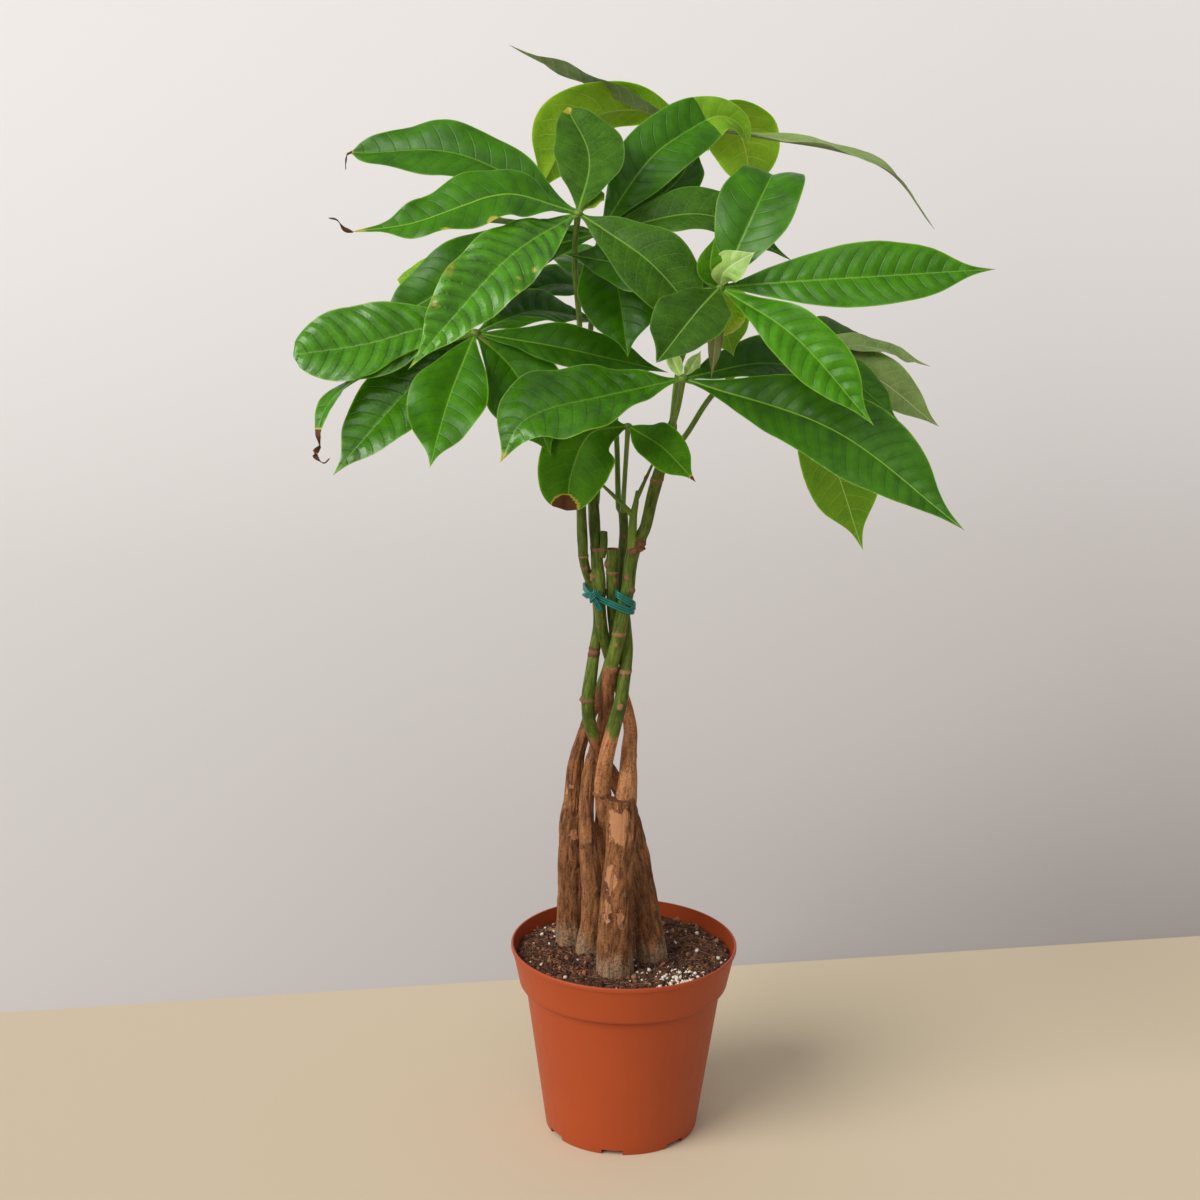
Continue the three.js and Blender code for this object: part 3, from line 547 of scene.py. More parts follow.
TOPS = {
    LeafLook.GLOSSY: LeafFinish("leaf_top_glossy_wax", "#2c5e02", "#4a8a05", "#34680a",
                                "#80b03a", "#76a434", 0.33, vein_share=0.3, bump=0.8,
                                gloss=0.3),
    LeafLook.SHINY: LeafFinish("leaf_top_wet_gloss_wax", "#2a5a02", "#519406", "#30600a",
                               "#80b03a", "#84b040", 0.26, vein_share=0.35, bump=1.0,
                               gloss=0.6),
    LeafLook.DULL: LeafFinish("leaf_top_dusty_wax", "#244803", "#42700c", "#5c8430",
                              "#84aa4a", "#5e8438", 0.5, dust=0.06, vein_share=0.3,
                              gloss=0.22),
    LeafLook.DEEP: LeafFinish("leaf_top_deep_wax", "#265404", "#427806", "#2c5a06",
                              "#80aa3e", "#5f8f2a", 0.38, vein_share=0.25, bump=0.7,
                              gloss=0.32),
    # Painted backlight: these brighter yellow-green colours stand for light shining through the
    # leaflet from behind.
    LeafLook.BACKLIT: LeafFinish("leaf_top_painted_backlight", "#649a10", "#8cba22", "#a4c648",
                                 "#bcd268", "#a8c050", 0.5, vein_share=0.3, glow=0.7,
                                 gloss=0.25),
    LeafLook.PALE: LeafFinish("leaf_top_young_wax", "#86ad4c", "#a9ca6c", "#bcd48c",
                              "#cfe0a0", "#c4d890", 0.35, vein_share=0.3),
    # Partly painted sheen: the pale grey-green is waxy bloom together with painted sheen of light
    # glancing off the leaf.
    LeafLook.GREY: LeafFinish("leaf_top_grey_bloom_painted_sheen", "#6c8844", "#92aa5e", "#a8ba7c",
                              "#bcca94", "#98aa70", 0.6, vein_share=0.45, gloss=0.25),
    LeafLook.MATTE: LeafFinish("leaf_top_matte_wax", "#326602", "#4e8606", "#669622",
                               "#86ac44", "#6c9a30", 0.6, vein_share=0.3, gloss=0.15,
                               glow=0.5),
    LeafLook.WILTED: LeafFinish("leaf_top_wilted", "#4e5f2a", "#6f7a44", "#8b8a5a",
                                "#a09a6a", "#7a6a44", 0.6, vein_share=0.3),
}
UNDERSIDES = {
    LeafLook.GLOSSY: LeafFinish("leaf_underside_matte", "#4f7c24", "#679036", "#86a85a",
                                "#aac47c", "#84a452", 0.6, vein_share=0.5, gloss=0.25),
    LeafLook.SHINY: LeafFinish("leaf_underside_soft", "#4f7c24", "#679036", "#86a85a",
                               "#aac47c", "#84a452", 0.55, vein_share=0.5, gloss=0.25),
    LeafLook.DULL: LeafFinish("leaf_underside_grey_matte", "#5f7a45", "#7c9460", "#98aa7c",
                              "#b4c294", "#8a9c66", 0.62, vein_share=0.5, gloss=0.25),
    LeafLook.DEEP: LeafFinish("leaf_underside_deep_matte", "#44702a", "#5b853a", "#7c9f58",
                              "#a5c078", "#7f9c52", 0.6, vein_share=0.5, gloss=0.25),
    # Painted backlight: brighter yellow-green colours for undersides lit through from behind.
    LeafLook.BACKLIT: LeafFinish("leaf_underside_painted_backlight", "#78a81c", "#a2c634",
                                 "#bcd45c", "#cede84", "#b0ca4e", 0.6, vein_share=0.5,
                                 glow=0.75, gloss=0.15),
    LeafLook.PALE: LeafFinish("leaf_underside_young", "#8fb055", "#adc878", "#c4d898",
                              "#d4e0ac", "#c8d898", 0.5, vein_share=0.4),
    LeafLook.GREY: LeafFinish("leaf_underside_grey_bloom", "#66804a", "#849a64", "#a0b080",
                              "#b8c498", "#8a9c66", 0.62, vein_share=0.5, gloss=0.25),
    LeafLook.MATTE: LeafFinish("leaf_underside_low_matte", "#588a0e", "#749e18", "#90b440",
                               "#aac868", "#8cac44", 0.6, vein_share=0.5, gloss=0.2,
                               glow=0.5),
    LeafLook.WILTED: LeafFinish("leaf_underside_wilted", "#63703c", "#808554", "#8f8a5c",
                                "#a09a6a", "#7a6a44", 0.65, vein_share=0.4),
}


@dataclass(frozen=True)
class StalkFinish:
    """Leaf stalk: smooth fibrous skin, so a soft gloss with faint lines along it."""

    name: str = "leaf_stalk_smooth_skin"
    dark: str = "#4c6b16"
    light: str = "#7c9a3c"
    roughness: float = 0.42
    line_mm: float = 0.8

    def material(self) -> Material:
        """Makes the material.

        Returns:
            Green skin with lines along the stalk.
        """
        material, tree, skin = fresh(self.name)
        grain = add_node(tree, "Attribute", attribute_name="blade")
        long = add_node(tree, "VectorMath", {0: grain.outputs["Vector"], 1: (1.0, 1.0, 0.08)},
                        operation="MULTIPLY")
        lines = add_node(
            tree, "TexNoise", {"Vector": long, "Scale": 1 / self.line_mm, "Detail": 3.0})
        spread = add_node(tree, "MapRange", {0: lines, 1: 0.3, 2: 0.7})
        base = add_node(tree, "Mix", {0: spread, 6: self.dark, 7: self.light})
        bump = add_node(tree, "Bump", {"Strength": 0.3, "Distance": 0.2 * MM, "Height": lines})
        feed(tree, skin, {"Base Color": base, "Roughness": self.roughness, "IOR": 1.45,
                          "Normal": bump})
        return material


@dataclass(frozen=True)
class BarkFinish:
    """Bark: green skin on young wood, corky fissured brown below it, so matte and streaked."""

    name: str = "money_tree_bark"
    green_dark: str = "#34480a"
    green_light: str = "#6e7f2a"
    green_young: str = "#7c9a38"
    brown_dark: str = "#452a1a"
    brown: str = "#8e5a35"
    brown_light: str = "#b0784c"
    smooth_dark: str = "#9a633c"
    smooth_light: str = "#c68c5e"
    flake: str = "#b9835c"
    grey: str = "#a8967c"
    scar_dark: str = "#48240f"
    scar_light: str = "#9c7150"
    crack_mm: float = 1.6
    patch_mm: float = 6.0
    pit_mm: float = 1.4
    dot_mm: float = 3.2
    relief_mm: float = 1.1
    roughness: float = 0.78
    young_roughness: float = 0.5

    def material(self) -> Material:
        """Makes the material.

        Returns:
            Bark that reads the stem's height above its green line, its scars and cracks.
        """
        material, tree, skin = fresh(self.name)
        grain = add_node(tree, "Attribute", attribute_name="grain").outputs["Vector"]
        above, scar, crack = mesh_facts(tree, "bark")
        flaking, greying, scar_tone = mesh_facts(tree, "old")
        sleek, fresh_green, _ = mesh_facts(tree, "wood")
        long = add_node(tree, "VectorMath", {0: grain, 1: (1.0, 1.0, 0.14)}, operation="MULTIPLY")
        streak = add_node(tree, "TexNoise", {"Vector": long, "Scale": 1 / self.crack_mm,
                          "Detail": 6.0, "Roughness": 0.65})
        tall = add_node(tree, "VectorMath", {0: grain, 1: (1.0, 1.0, 0.4)}, operation="MULTIPLY")
        patch = add_node(tree, "TexNoise", {"Vector": tall, "Scale": 1 / self.patch_mm,
                         "Detail": 4.0, "Roughness": 0.6})
        fine = add_node(tree, "TexNoise", {"Vector": grain, "Scale": 1 / self.pit_mm,
                        "Detail": 4.0, "Roughness": 0.75})

        # The line between green and brown is ragged by about 6 mm.
        ragged = add_node(tree, "Math", {0: patch, 1: 26.0, 2: above}, operation="MULTIPLY_ADD")
        young = add_node(
            tree, "MapRange", {0: ragged, 1: 11.5, 2: 15.5}, interpolation_type="SMOOTHSTEP")

        # Pits, shed flakes, grey near the soil and dark cracks lie over the brown in turn.
        pits = add_node(tree, "MapRange", {0: fine, 1: 0.38, 2: 0.47, 3: 0.7, 4: 0.0})
        edge = add_node(tree, "Math", {0: fine, 1: 0.6, 2: flaking}, operation="MULTIPLY_ADD")
        flakes = add_node(tree, "MapRange", {0: edge, 1: 0.66, 2: 0.8})
        fuzz = add_node(tree, "Math", {0: fine, 1: greying}, operation="MULTIPLY")
        fuzzy = add_node(tree, "MapRange", {0: fuzz, 1: 0.38, 2: 0.56, 3: 0.0, 4: 0.65})
        deep = add_node(tree, "MapRange", {0: crack, 1: 0.15, 2: 0.9, 3: 0.0, 4: 0.6})
        brown = self.cork(tree, streak, patch, sleek)
        for cover, coat in [(pits, self.brown_dark), (flakes, self.flake),
                            (fuzzy, self.grey), (deep, self.brown_dark)]:
            brown = add_node(tree, "Mix", {0: cover, 6: brown, 7: coat})
        green = self.green(tree, long, streak, patch, fresh_green)
        bark = add_node(tree, "Mix", {0: young, 6: brown, 7: green})
        scar_edge = add_node(tree, "Math", {0: fine, 1: 0.7, 2: scar}, operation="MULTIPLY_ADD")
        scarred = add_node(
            tree, "MapRange", {0: scar_edge, 1: 0.7, 2: 0.95}, interpolation_type="SMOOTHSTEP")
        scar_mix = add_node(
            tree, "Math", {0: fine, 1: 0.9, 2: scar_tone}, operation="MULTIPLY_ADD")
        scar_light = add_node(tree, "MapRange", {0: scar_mix, 1: 0.3, 2: 1.2})
        scar_colour = add_node(
            tree, "Mix", {0: scar_light, 6: self.scar_dark, 7: self.scar_light})
        whole = add_node(tree, "Mix", {0: scarred, 6: bark, 7: scar_colour})

        rough = add_node(tree, "MapRange", {0: young, 3: self.roughness, 4: self.young_roughness})
        depth = add_node(tree, "MapRange", {0: young, 3: 1.0, 4: 0.25})
        relief = add_node(tree, "Math", {0: streak, 1: depth, 2: fine}, operation="MULTIPLY_ADD")
        bump = add_node(
            tree, "Bump", {"Strength": 0.9, "Distance": self.relief_mm * MM, "Height": relief})
        feed(tree, skin, {"Base Color": whole, "Roughness": rough, "IOR": 1.45,
                          "Specular IOR Level": 0.28, "Normal": bump})
        return material

    def cork(self, tree: Tree, streak: Node, patch: Node, sleek: Socket) -> Node:
        """Brown: dark in the cracks and lighter on the ridges, or even where it is smooth.

        Args:
            tree: Gets the nodes.
            streak: Long streaks.
            patch: Tall patches.
            sleek: How smooth this length of stem is.

        Returns:
            The colour.
        """
        streaks = add_node(tree, "MapRange", {0: streak, 1: 0.38, 2: 0.6})
        low = add_node(tree, "Mix", {0: streaks, 6: self.brown_dark, 7: self.brown})
        ridge = add_node(tree, "MapRange", {0: patch, 1: 0.42, 2: 0.72})
        rugged = add_node(tree, "Mix", {0: ridge, 6: low, 7: self.brown_light})
        smooth_cork = add_node(
            tree, "Mix", {0: streaks, 6: self.smooth_dark, 7: self.smooth_light})
        even = add_node(tree, "MapRange", {0: sleek, 1: 0.05, 2: 0.7})
        return add_node(tree, "Mix", {0: even, 6: rugged, 7: smooth_cork})

    def green(self, tree: Tree, long: Node, streak: Node, patch: Node,
              fresh_green: Socket) -> Node:
        """Green skin: cloudy, with faint lines and pale breathing pores.

        Args:
            tree: Gets the nodes.
            long: Coordinates stretched along the stem.
            streak: Long streaks.
            patch: Tall patches.
            fresh_green: How young this length of stem is.

        Returns:
            The colour.
        """
        clouds = add_node(tree, "Math", {0: patch, 1: streak}, operation="ADD")
        greens = add_node(tree, "MapRange", {0: clouds, 1: 0.8, 2: 1.25})
        pores = add_node(
            tree, "TexVoronoi", {"Vector": long, "Scale": 1 / self.dot_mm * 2, "Randomness": 1.0})
        dots = add_node(
            tree, "MapRange", {0: pores.outputs["Distance"], 1: 0.08, 2: 0.2, 3: 0.7, 4: 0.0})
        colour = add_node(tree, "Mix", {0: greens, 6: self.green_dark, 7: self.green_light})
        for cover, coat in [(fresh_green, self.green_young), (dots, self.scar_light)]:
            colour = add_node(tree, "Mix", {0: cover, 6: colour, 7: coat})
        return colour


@dataclass(frozen=True)
class PotPlastic:
    """Polypropylene, injection moulded with a fine matte mould face: satin, even colour."""

    name: str = "pot_polypropylene_moulded"
    colour: str = "#ae4a1e"
    worn: str = "#a0411c"
    roughness: float = 0.46
    gloss: float = 0.35
    ior: float = 1.49

    def material(self) -> Material:
        """Makes the material.

        Returns:
            Satin terracotta plastic with faint handling marks.
        """
        material, tree, skin = fresh(self.name)
        place = add_node(tree, "TexCoord").outputs["Object"]
        cloud = add_node(
            tree, "TexNoise", {"Vector": place, "Scale": per_mm(38.0), "Detail": 3.0})
        base = add_node(tree, "Mix", {0: cloud, 6: self.worn, 7: self.colour})
        # Upright rub marks from stacking, drawn coarser than the real hairlines.
        long = add_node(tree, "VectorMath", {0: place, 1: (1.0, 1.0, 0.05)}, operation="MULTIPLY")
        rub = add_node(tree, "TexNoise", {"Vector": long, "Scale": per_mm(1.5), "Detail": 3.0})
        rough = add_node(tree, "MapRange", {0: rub, 1: 0.3, 2: 0.7,
                         3: self.roughness - 0.04, 4: self.roughness + 0.08})
        # Mould face: grains of about 0.15 mm, drawn at 0.4 mm so that they show.
        grit = add_node(tree, "TexNoise", {"Vector": place, "Scale": per_mm(0.4), "Detail": 1.0})
        bump = add_node(tree, "Bump", {"Strength": 0.12, "Distance": 0.1 * MM, "Height": grit})
        feed(tree, skin, {"Base Color": base, "Roughness": rough, "IOR": self.ior,
                          "Specular IOR Level": self.gloss, "Normal": bump})
        return material


@dataclass(frozen=True)
class PottingMix:
    """Damp peat and coir: fibrous, matte, from near black to rust brown."""

    name: str = "potting_mix_peat"
    dark: str = "#24150d"
    middle: str = "#54311f"
    light: str = "#9a6a49"
    roughness: float = 0.92

    def material(self) -> Material:
        """Makes the material.

        Returns:
            Peat whose crumbs each have their own tone.
        """
        material, tree, skin = fresh(self.name)
        place = add_node(tree, "TexCoord").outputs["Object"]
        tone = add_node(tree, "Attribute", attribute_name="tone")
        grit = add_node(tree, "TexNoise", {"Vector": place,
                        "Scale": per_mm(1.8), "Detail": 6.0, "Roughness": 0.75})
        level = add_node(
            tree, "Math", {0: grit, 1: 0.9, 2: tone.outputs["Fac"]}, operation="MULTIPLY_ADD")
        first = add_node(tree, "MapRange", {0: level, 1: 0.2, 2: 0.85})
        second = add_node(tree, "MapRange", {0: level, 1: 0.85, 2: 1.4})
        low = add_node(tree, "Mix", {0: first, 6: self.dark, 7: self.middle})
        whole = add_node(tree, "Mix", {0: second, 6: low, 7: self.light})
        bump = add_node(tree, "Bump", {"Strength": 0.8, "Distance": 0.6 * MM, "Height": grit})
        feed(tree, skin, {"Base Color": whole, "Roughness": self.roughness, "Normal": bump})
        return material


@dataclass(frozen=True)
class PerliteFinish:
    """Perlite: puffed volcanic glass, so white, chalky and pitted."""

    name: str = "perlite_puffed_glass"
    white: str = "#ece7dc"
    stain: str = "#b9a78a"
    roughness: float = 0.8

    def material(self) -> Material:
        """Makes the material.

        Returns:
            Chalky white with peat stains.
        """
        material, tree, skin = fresh(self.name)
        place = add_node(tree, "TexCoord").outputs["Object"]
        spots = add_node(tree, "TexNoise", {"Vector": place,
                         "Scale": per_mm(1.2), "Detail": 4.0, "Roughness": 0.7})
        stains = add_node(tree, "MapRange", {0: spots, 1: 0.35, 2: 0.6})
        base = add_node(tree, "Mix", {0: stains, 6: self.stain, 7: self.white})
        bump = add_node(tree, "Bump", {"Strength": 0.6, "Distance": 0.3 * MM, "Height": spots})
        feed(tree, skin, {"Base Color": base, "Roughness": self.roughness, "Normal": bump})
        return material


@dataclass(frozen=True)
class TieVinyl:
    """Soft PVC, extruded with ridges over wires: glossy teal with dark grooves."""

    name: str = "tie_vinyl_extruded"
    dark: str = "#05423e"
    light: str = "#0d857b"
    roughness: float = 0.32
    ior: float = 1.53

    def material(self) -> Material:
        """Makes the material.

        Returns:
            Teal plastic, with soft patches that are lighter and a little less glossy.
        """
        material, tree, skin = fresh(self.name)
        place = add_node(tree, "TexCoord").outputs["Object"]
        cloud = add_node(tree, "TexNoise", {"Vector": place, "Scale": per_mm(3.0), "Detail": 4.0})
        base = add_node(tree, "Mix", {0: cloud, 6: self.dark, 7: self.light})
        rough = add_node(
            tree, "MapRange", {0: cloud, 3: self.roughness - 0.06, 4: self.roughness + 0.12})
        bump = add_node(tree, "Bump", {"Strength": 0.2, "Distance": 0.1 * MM, "Height": cloud})
        feed(tree, skin, {"Base Color": base, "Roughness": rough, "IOR": self.ior,
                          "Normal": bump})
        return material


@dataclass(frozen=True)
class PaperFinish:
    """Background paper, matte: beige where the pot stands, and pale grey behind it, with painted
    shade that darkens the grey towards the line and to the right.

    Sizes here are metres.
    """

    name: str = "studio_paper_matte"
    floor: str = "#d2c2a8"
    near_left: str = "#d1cbc8"
    near_right: str = "#a49b96"
    far_left: str = "#ebe8e6"
    far_right: str = "#dcd9d8"
    edge_y: float = 0.232
    edge_yaw: float = 10.46
    edge_blur: float = 0.0008
    far_y: float = 4.4

    def material(self) -> Material:
        """Makes the material.

        Returns:
            Paper in two tones that meet on a straight line behind the pot.
        """
        material, tree, paper = fresh(self.name)
        place = add_node(tree, "TexCoord").outputs["Object"]
        x, y, z = add_node(tree, "SeparateXYZ", {0: place}).outputs
        line = add_node(tree, "MapRange", {0: y, 1: self.edge_y - self.edge_blur,
                        2: self.edge_y + self.edge_blur})
        # Painted shade: behind the line the grey darkens to the right and towards the line, as
        # light falling off.
        reach = add_node(tree, "Math", {0: y, 1: 1.6}, operation="ADD")
        slant = add_node(tree, "Math", {0: x, 1: reach}, operation="DIVIDE")
        painted_side_shade = add_node(tree, "MapRange", {0: slant, 1: -0.3, 2: 0.3})
        back = add_node(tree, "Math", {0: y, 1: z}, operation="ADD")
        away = add_node(tree, "MapRange", {0: back, 1: self.edge_y, 2: self.far_y})
        painted_falloff = add_node(tree, "Math", {0: away, 1: 0.6}, operation="POWER")
        near = add_node(tree, "Mix", {0: painted_side_shade, 6: self.near_left, 7: self.near_right})
        far = add_node(tree, "Mix", {0: painted_side_shade, 6: self.far_left, 7: self.far_right})
        wall = add_node(tree, "Mix", {0: painted_falloff, 6: near, 7: far})
        whole = add_node(tree, "Mix", {0: line, 6: self.floor, 7: wall})
        feed(tree, paper, {"Base Color": whole, "Roughness": 0.9, "Specular IOR Level": 0.1})
        return material


# --- Leaves ---

COLUMNS = np.array([0.035, 0.09, 0.19, 0.33, 0.5, 0.67, 0.82, 0.94, 1.0])
ACROSS = np.concatenate([-COLUMNS[::-1], [0.0], COLUMNS])


def leaf_facts(rings: Array, blade: Array, reach: Array | float = 0.0,
               tone: float = 0.0, midrib: float = 0.0, quilted: float = 0.0) -> dict:
    """What the materials of a leaf read from its mesh.

    Args:
        rings: Array of rings, points in a ring, and x, y, z.
        blade: Place along, place across and place among the veins, for each point.
        reach: Distance from the rib, distance from the edge and age, for each point.
        tone: How light the piece is, from -1 to 1.
        midrib: How strong its rib shows.
        quilted: How much it swells between the veins.

    Returns:
        Named values for each point.
    """
    shape = rings.shape[:2]
    return {"blade": blade, "reach": np.broadcast_to(reach, (*shape, 3)),
            "tone": np.full(shape, tone), "midrib": np.full(shape, midrib),
            "quilted": np.full(shape, quilted)}


@dataclass(frozen=True)
class Mark:
    """A spot of aged tissue: its place on the leaflet, size in mm, and age up to 1."""

    s: float
    v: float
    size: float
    age: float


@dataclass(frozen=True)
class Leaflet:
    """One leaflet: path holds the points that its rib runs through, measured from the hub.

    Lean and tilt turn its upper side to the front and to the right, in degrees. Peak is
    where it is widest, tip how fine its point is, tail how long its drip tip is, and past
    the place that beyond gives, the upper side has another look.
    """

    path: Sequence[Point]
    width: float
    lean: float = 45.0
    tilt: float = 0.0
    fold: float = 0.16
    wave: float = 1.2
    waves: float = 3.0
    peak: float = 0.54
    tip: float = 1.1
    look: LeafLook = LeafLook.GLOSSY
    under: Optional[LeafLook] = None
    beyond: Optional[tuple[float, LeafLook]] = None
    quilt: float = 0.5
    rib: float = 0.6
    tail: float = 0.1
    flutter: float = 0.7
    marks: Sequence[Mark] = ()
    vein_pitch: ClassVar[float] = 9.5
    thickness: ClassVar[float] = 0.4

    def outline(self, s: Array) -> Array:
        """Width along the leaflet, as a share of its greatest width."""
        rise = np.sin(0.5 * np.pi * np.clip(s / self.peak, 0, 1)) ** 1.2
        down = np.clip((s - self.peak) / (1 - self.peak), 0, 1)
        fall = np.maximum(np.cos(0.5 * np.pi * down), 0) ** self.tip
        drip = 1 - 0.45 * smooth(s, 1 - 2.2 * self.tail, 1 - 0.5 * self.tail)
        return np.where(s < self.peak, rise, fall * drip)

    def facing(self, along: Array) -> tuple[Array, Array]:
        """Directions out of the upper side of the blade and to its side.

        Args:
            along: Directions of the rib.

        Returns:
            Two rows of unit vectors.
        """
        lean, tilt = np.radians(self.lean), np.radians(self.tilt)
        up = np.array([np.sin(tilt), -np.sin(lean) * np.cos(tilt), np.cos(lean) * np.cos(tilt)])
        face = up - along * (along @ up)[:, None]
        face /= np.linalg.norm(face, axis=1, keepdims=True)
        return face, np.cross(along, face)

    def lift(self, ss: Array, v: Array, half: Array, out: Array,
             phase: Array, veins: int, seed: float) -> Array:
        """Height of the upper side over the rib: fold, waves, swellings and a ridged rib.

        Args:
            ss: Places along the leaflet, as a column.
            v: Places across it from -1 to 1, as a row.
            half: Half width of the rows.
            out: Distance of each point from the rib.
            phase: Place of each point among the side veins.
            veins: Number of side veins.
            seed: The leaflet's number for its random draws.

        Returns:
            Heights in millimetres.
        """
        left = np.where(v < 0, 1.0, 0.0)
        width = np.abs(v)
        ripple = self.wave * v ** 2 * np.sin(
            2 * np.pi * (self.waves * ss + chance(seed) + 0.3 * v))
        crease = np.sqrt(width ** 2 + 0.0016) - 0.04
        folded = self.fold * crease * half + 0.22 * width * (1 - width) * half
        bulge = np.abs(np.sin(np.pi * (phase + VEIN_OFFSET * left))) ** 0.75 - 0.55
        there = (smooth(width, 0.03, 0.22) * (1 - 0.75 * smooth(width, 0.75, 1.0))
                 * smooth(ss, 0.05, 0.2) * (1 - smooth(ss, 0.86, 0.97)))
        wander = 1.1 * bumpy(np.stack([ss * 3.1 + 0 * v, v * 1.3 + 0 * ss], -1), seed + 5)
        hem = self.flutter * width ** 3 * bumpy(
            np.stack([ss * veins * 0.8 + 0 * v, left * 9 + 0 * ss], -1), seed + 9)
        mound = 0.3 * np.exp(-(out / 0.55) ** 2) - 0.35 * np.exp(-(out / 1.9) ** 2)
        return (folded + (ripple + hem + wander + self.quilt * bulge * there + mound)
                * np.minimum(1, half / 9) + 0.35)

    def thick(self, ss: Array, v: Array, half: Array, out: Array) -> Array:
        """Thickness: a thin blade over the rib's keel, and a round stub at the hub.

        Args:
            ss: Places along the leaflet, as a column.
            v: Places across it from -1 to 1, as a row.
            half: Half width of the rows.
            out: Distance of each point from the rib.

        Returns:
            Thicknesses in millimetres.
        """
        width = np.abs(v)
        root = np.maximum(0, 1 - ss / 0.12)
        round_share = np.clip(1 - (half - 1.6) / 4, 0, 1)
        keel = (0.25 + 0.75 * (1 - ss)) * (
            round_share * np.sqrt(np.maximum(0, 1 - width ** 2))
            + (1 - round_share) * np.exp(-(out / 1.0) ** 2))
        return (self.thickness * (1 - width ** 8) * np.minimum(1, half / 2)
                + keel + 1.3 * root * np.sqrt(np.maximum(0, 1 - width ** 2)))

    def add_to(self, form: Form, hub: Point, seed: float, looks: tuple[int, int, int]) -> None:
        """Adds the leaflet's closed shell to a form.

        Args:
            form: Collects the compound leaf.
            hub: Where the leaflets meet.
            seed: The leaflet's number for its random draws.
            looks: Material numbers of the top, the underside and the top beyond the fold.
        """
        rib = Line([hub, *(tuple(np.add(hub, p)) for p in self.path)])
        veins = max(5, round(rib.length / self.vein_pitch))
        body = np.linspace(0.06, 0.955, int(6.2 * veins))
        s = np.concatenate([[0, 0.015, 0.035], body, [0.968, 0.979, 0.988, 0.995, 1.0]])
        centre, along = rib.at(s), rib.along(s)
        face, side = self.facing(along)

        ss, v = s[:, None], ACROSS[None, :]
        least = np.where(s < 0.5, 1.55 + 0.5 * smooth(s, 0.06, 0.0), 0.12)
        half = np.maximum(0.5 * self.width * self.outline(s), least)[:, None]
        width = np.abs(v)
        left = np.where(v < 0, 1.0, 0.0)
        uneven = bumpy(np.stack([ss * 4 + 0 * v, left * 7 + 0 * ss], -1), seed)
        reach = half * (1 + 0.06 * uneven * np.minimum(1, half / 8))
        out = width * reach
        phase = veins * (ss - half / rib.length * (0.42 * width + 0.3 * width ** 3))
        high = self.lift(ss, v, half, out, phase, veins, seed)
        top = (centre[:, None] + side[:, None] * (np.sign(v) * out)[..., None]
               + face[:, None] * high[..., None])
        bottom = top - face[:, None] * self.thick(ss, v, half, out)[..., None]

        age = 0 * out
        for mark in self.marks:
            gone = np.hypot((ss - mark.s) * rib.length, (v - mark.v) * half)
            sharp = 0.8 if mark.age > 0.8 else 0.35
            near = 1 - smooth(gone, sharp * mark.size, mark.size)
            age = np.maximum(age, mark.age * near)
        rings = np.concatenate([top, bottom[:, -2:0:-1]], axis=1)
        back = list(range(len(ACROSS))) + list(range(len(ACROSS) - 2, 0, -1))
        blade = np.stack([ss + 0 * v, v + 0 * ss, phase], -1)[:, back]
        reached = np.stack([out, reach - out, age], -1)
        upper = np.arange(len(back)) < len(ACROSS) - 1
        strips = np.where(upper[None, :], looks[0], looks[1]) * np.ones((len(s) - 1, 1), int)
        if self.beyond:
            strips[np.ix_(s[:-1] > self.beyond[0], upper)] = looks[2]
        form.skin(rings, strips, leaf_facts(
            rings, blade, reached[:, back], 2 * chance(seed + 3) - 1, self.rib, self.quilt ** 2))


@dataclass(frozen=True)
class Shred:
    """A dried, curled scrap at a leaf tip, as a thin twisting ribbon."""

    path: Sequence[Point]
    width: float = 2.0

    def add_to(self, form: Form, hub: Point, look: int) -> None:
        """Adds the shred to a form.

        Args:
            form: Collects the compound leaf.
            hub: The path starts from here.
            look: Material number.
        """
        line = Line([tuple(np.add(hub, p)) for p in self.path])
        s = np.linspace(0, 1, 22)
        centre, along = line.at(s), line.along(s)
        turn = 5.0 * s[:, None]
        first = np.cross(along, [0.2, 0.3, 0.93])
        first /= np.linalg.norm(first, axis=1, keepdims=True)
        other = np.cross(along, first)
        flat = first * np.cos(turn) + other * np.sin(turn)
        thin = np.cross(along, flat)
        half = (0.5 * self.width * (1 - s) ** 0.6 + 0.12)[:, None]
        angle = 2 * np.pi * np.arange(8) / 8
        rings = (centre[:, None] + flat[:, None] * (half * np.cos(angle))[..., None]
                 + thin[:, None] * (0.28 * np.sin(angle) * np.ones_like(half))[..., None])
        form.skin(rings, np.full(8, look), leaf_facts(rings, np.zeros_like(rings), 1.0))


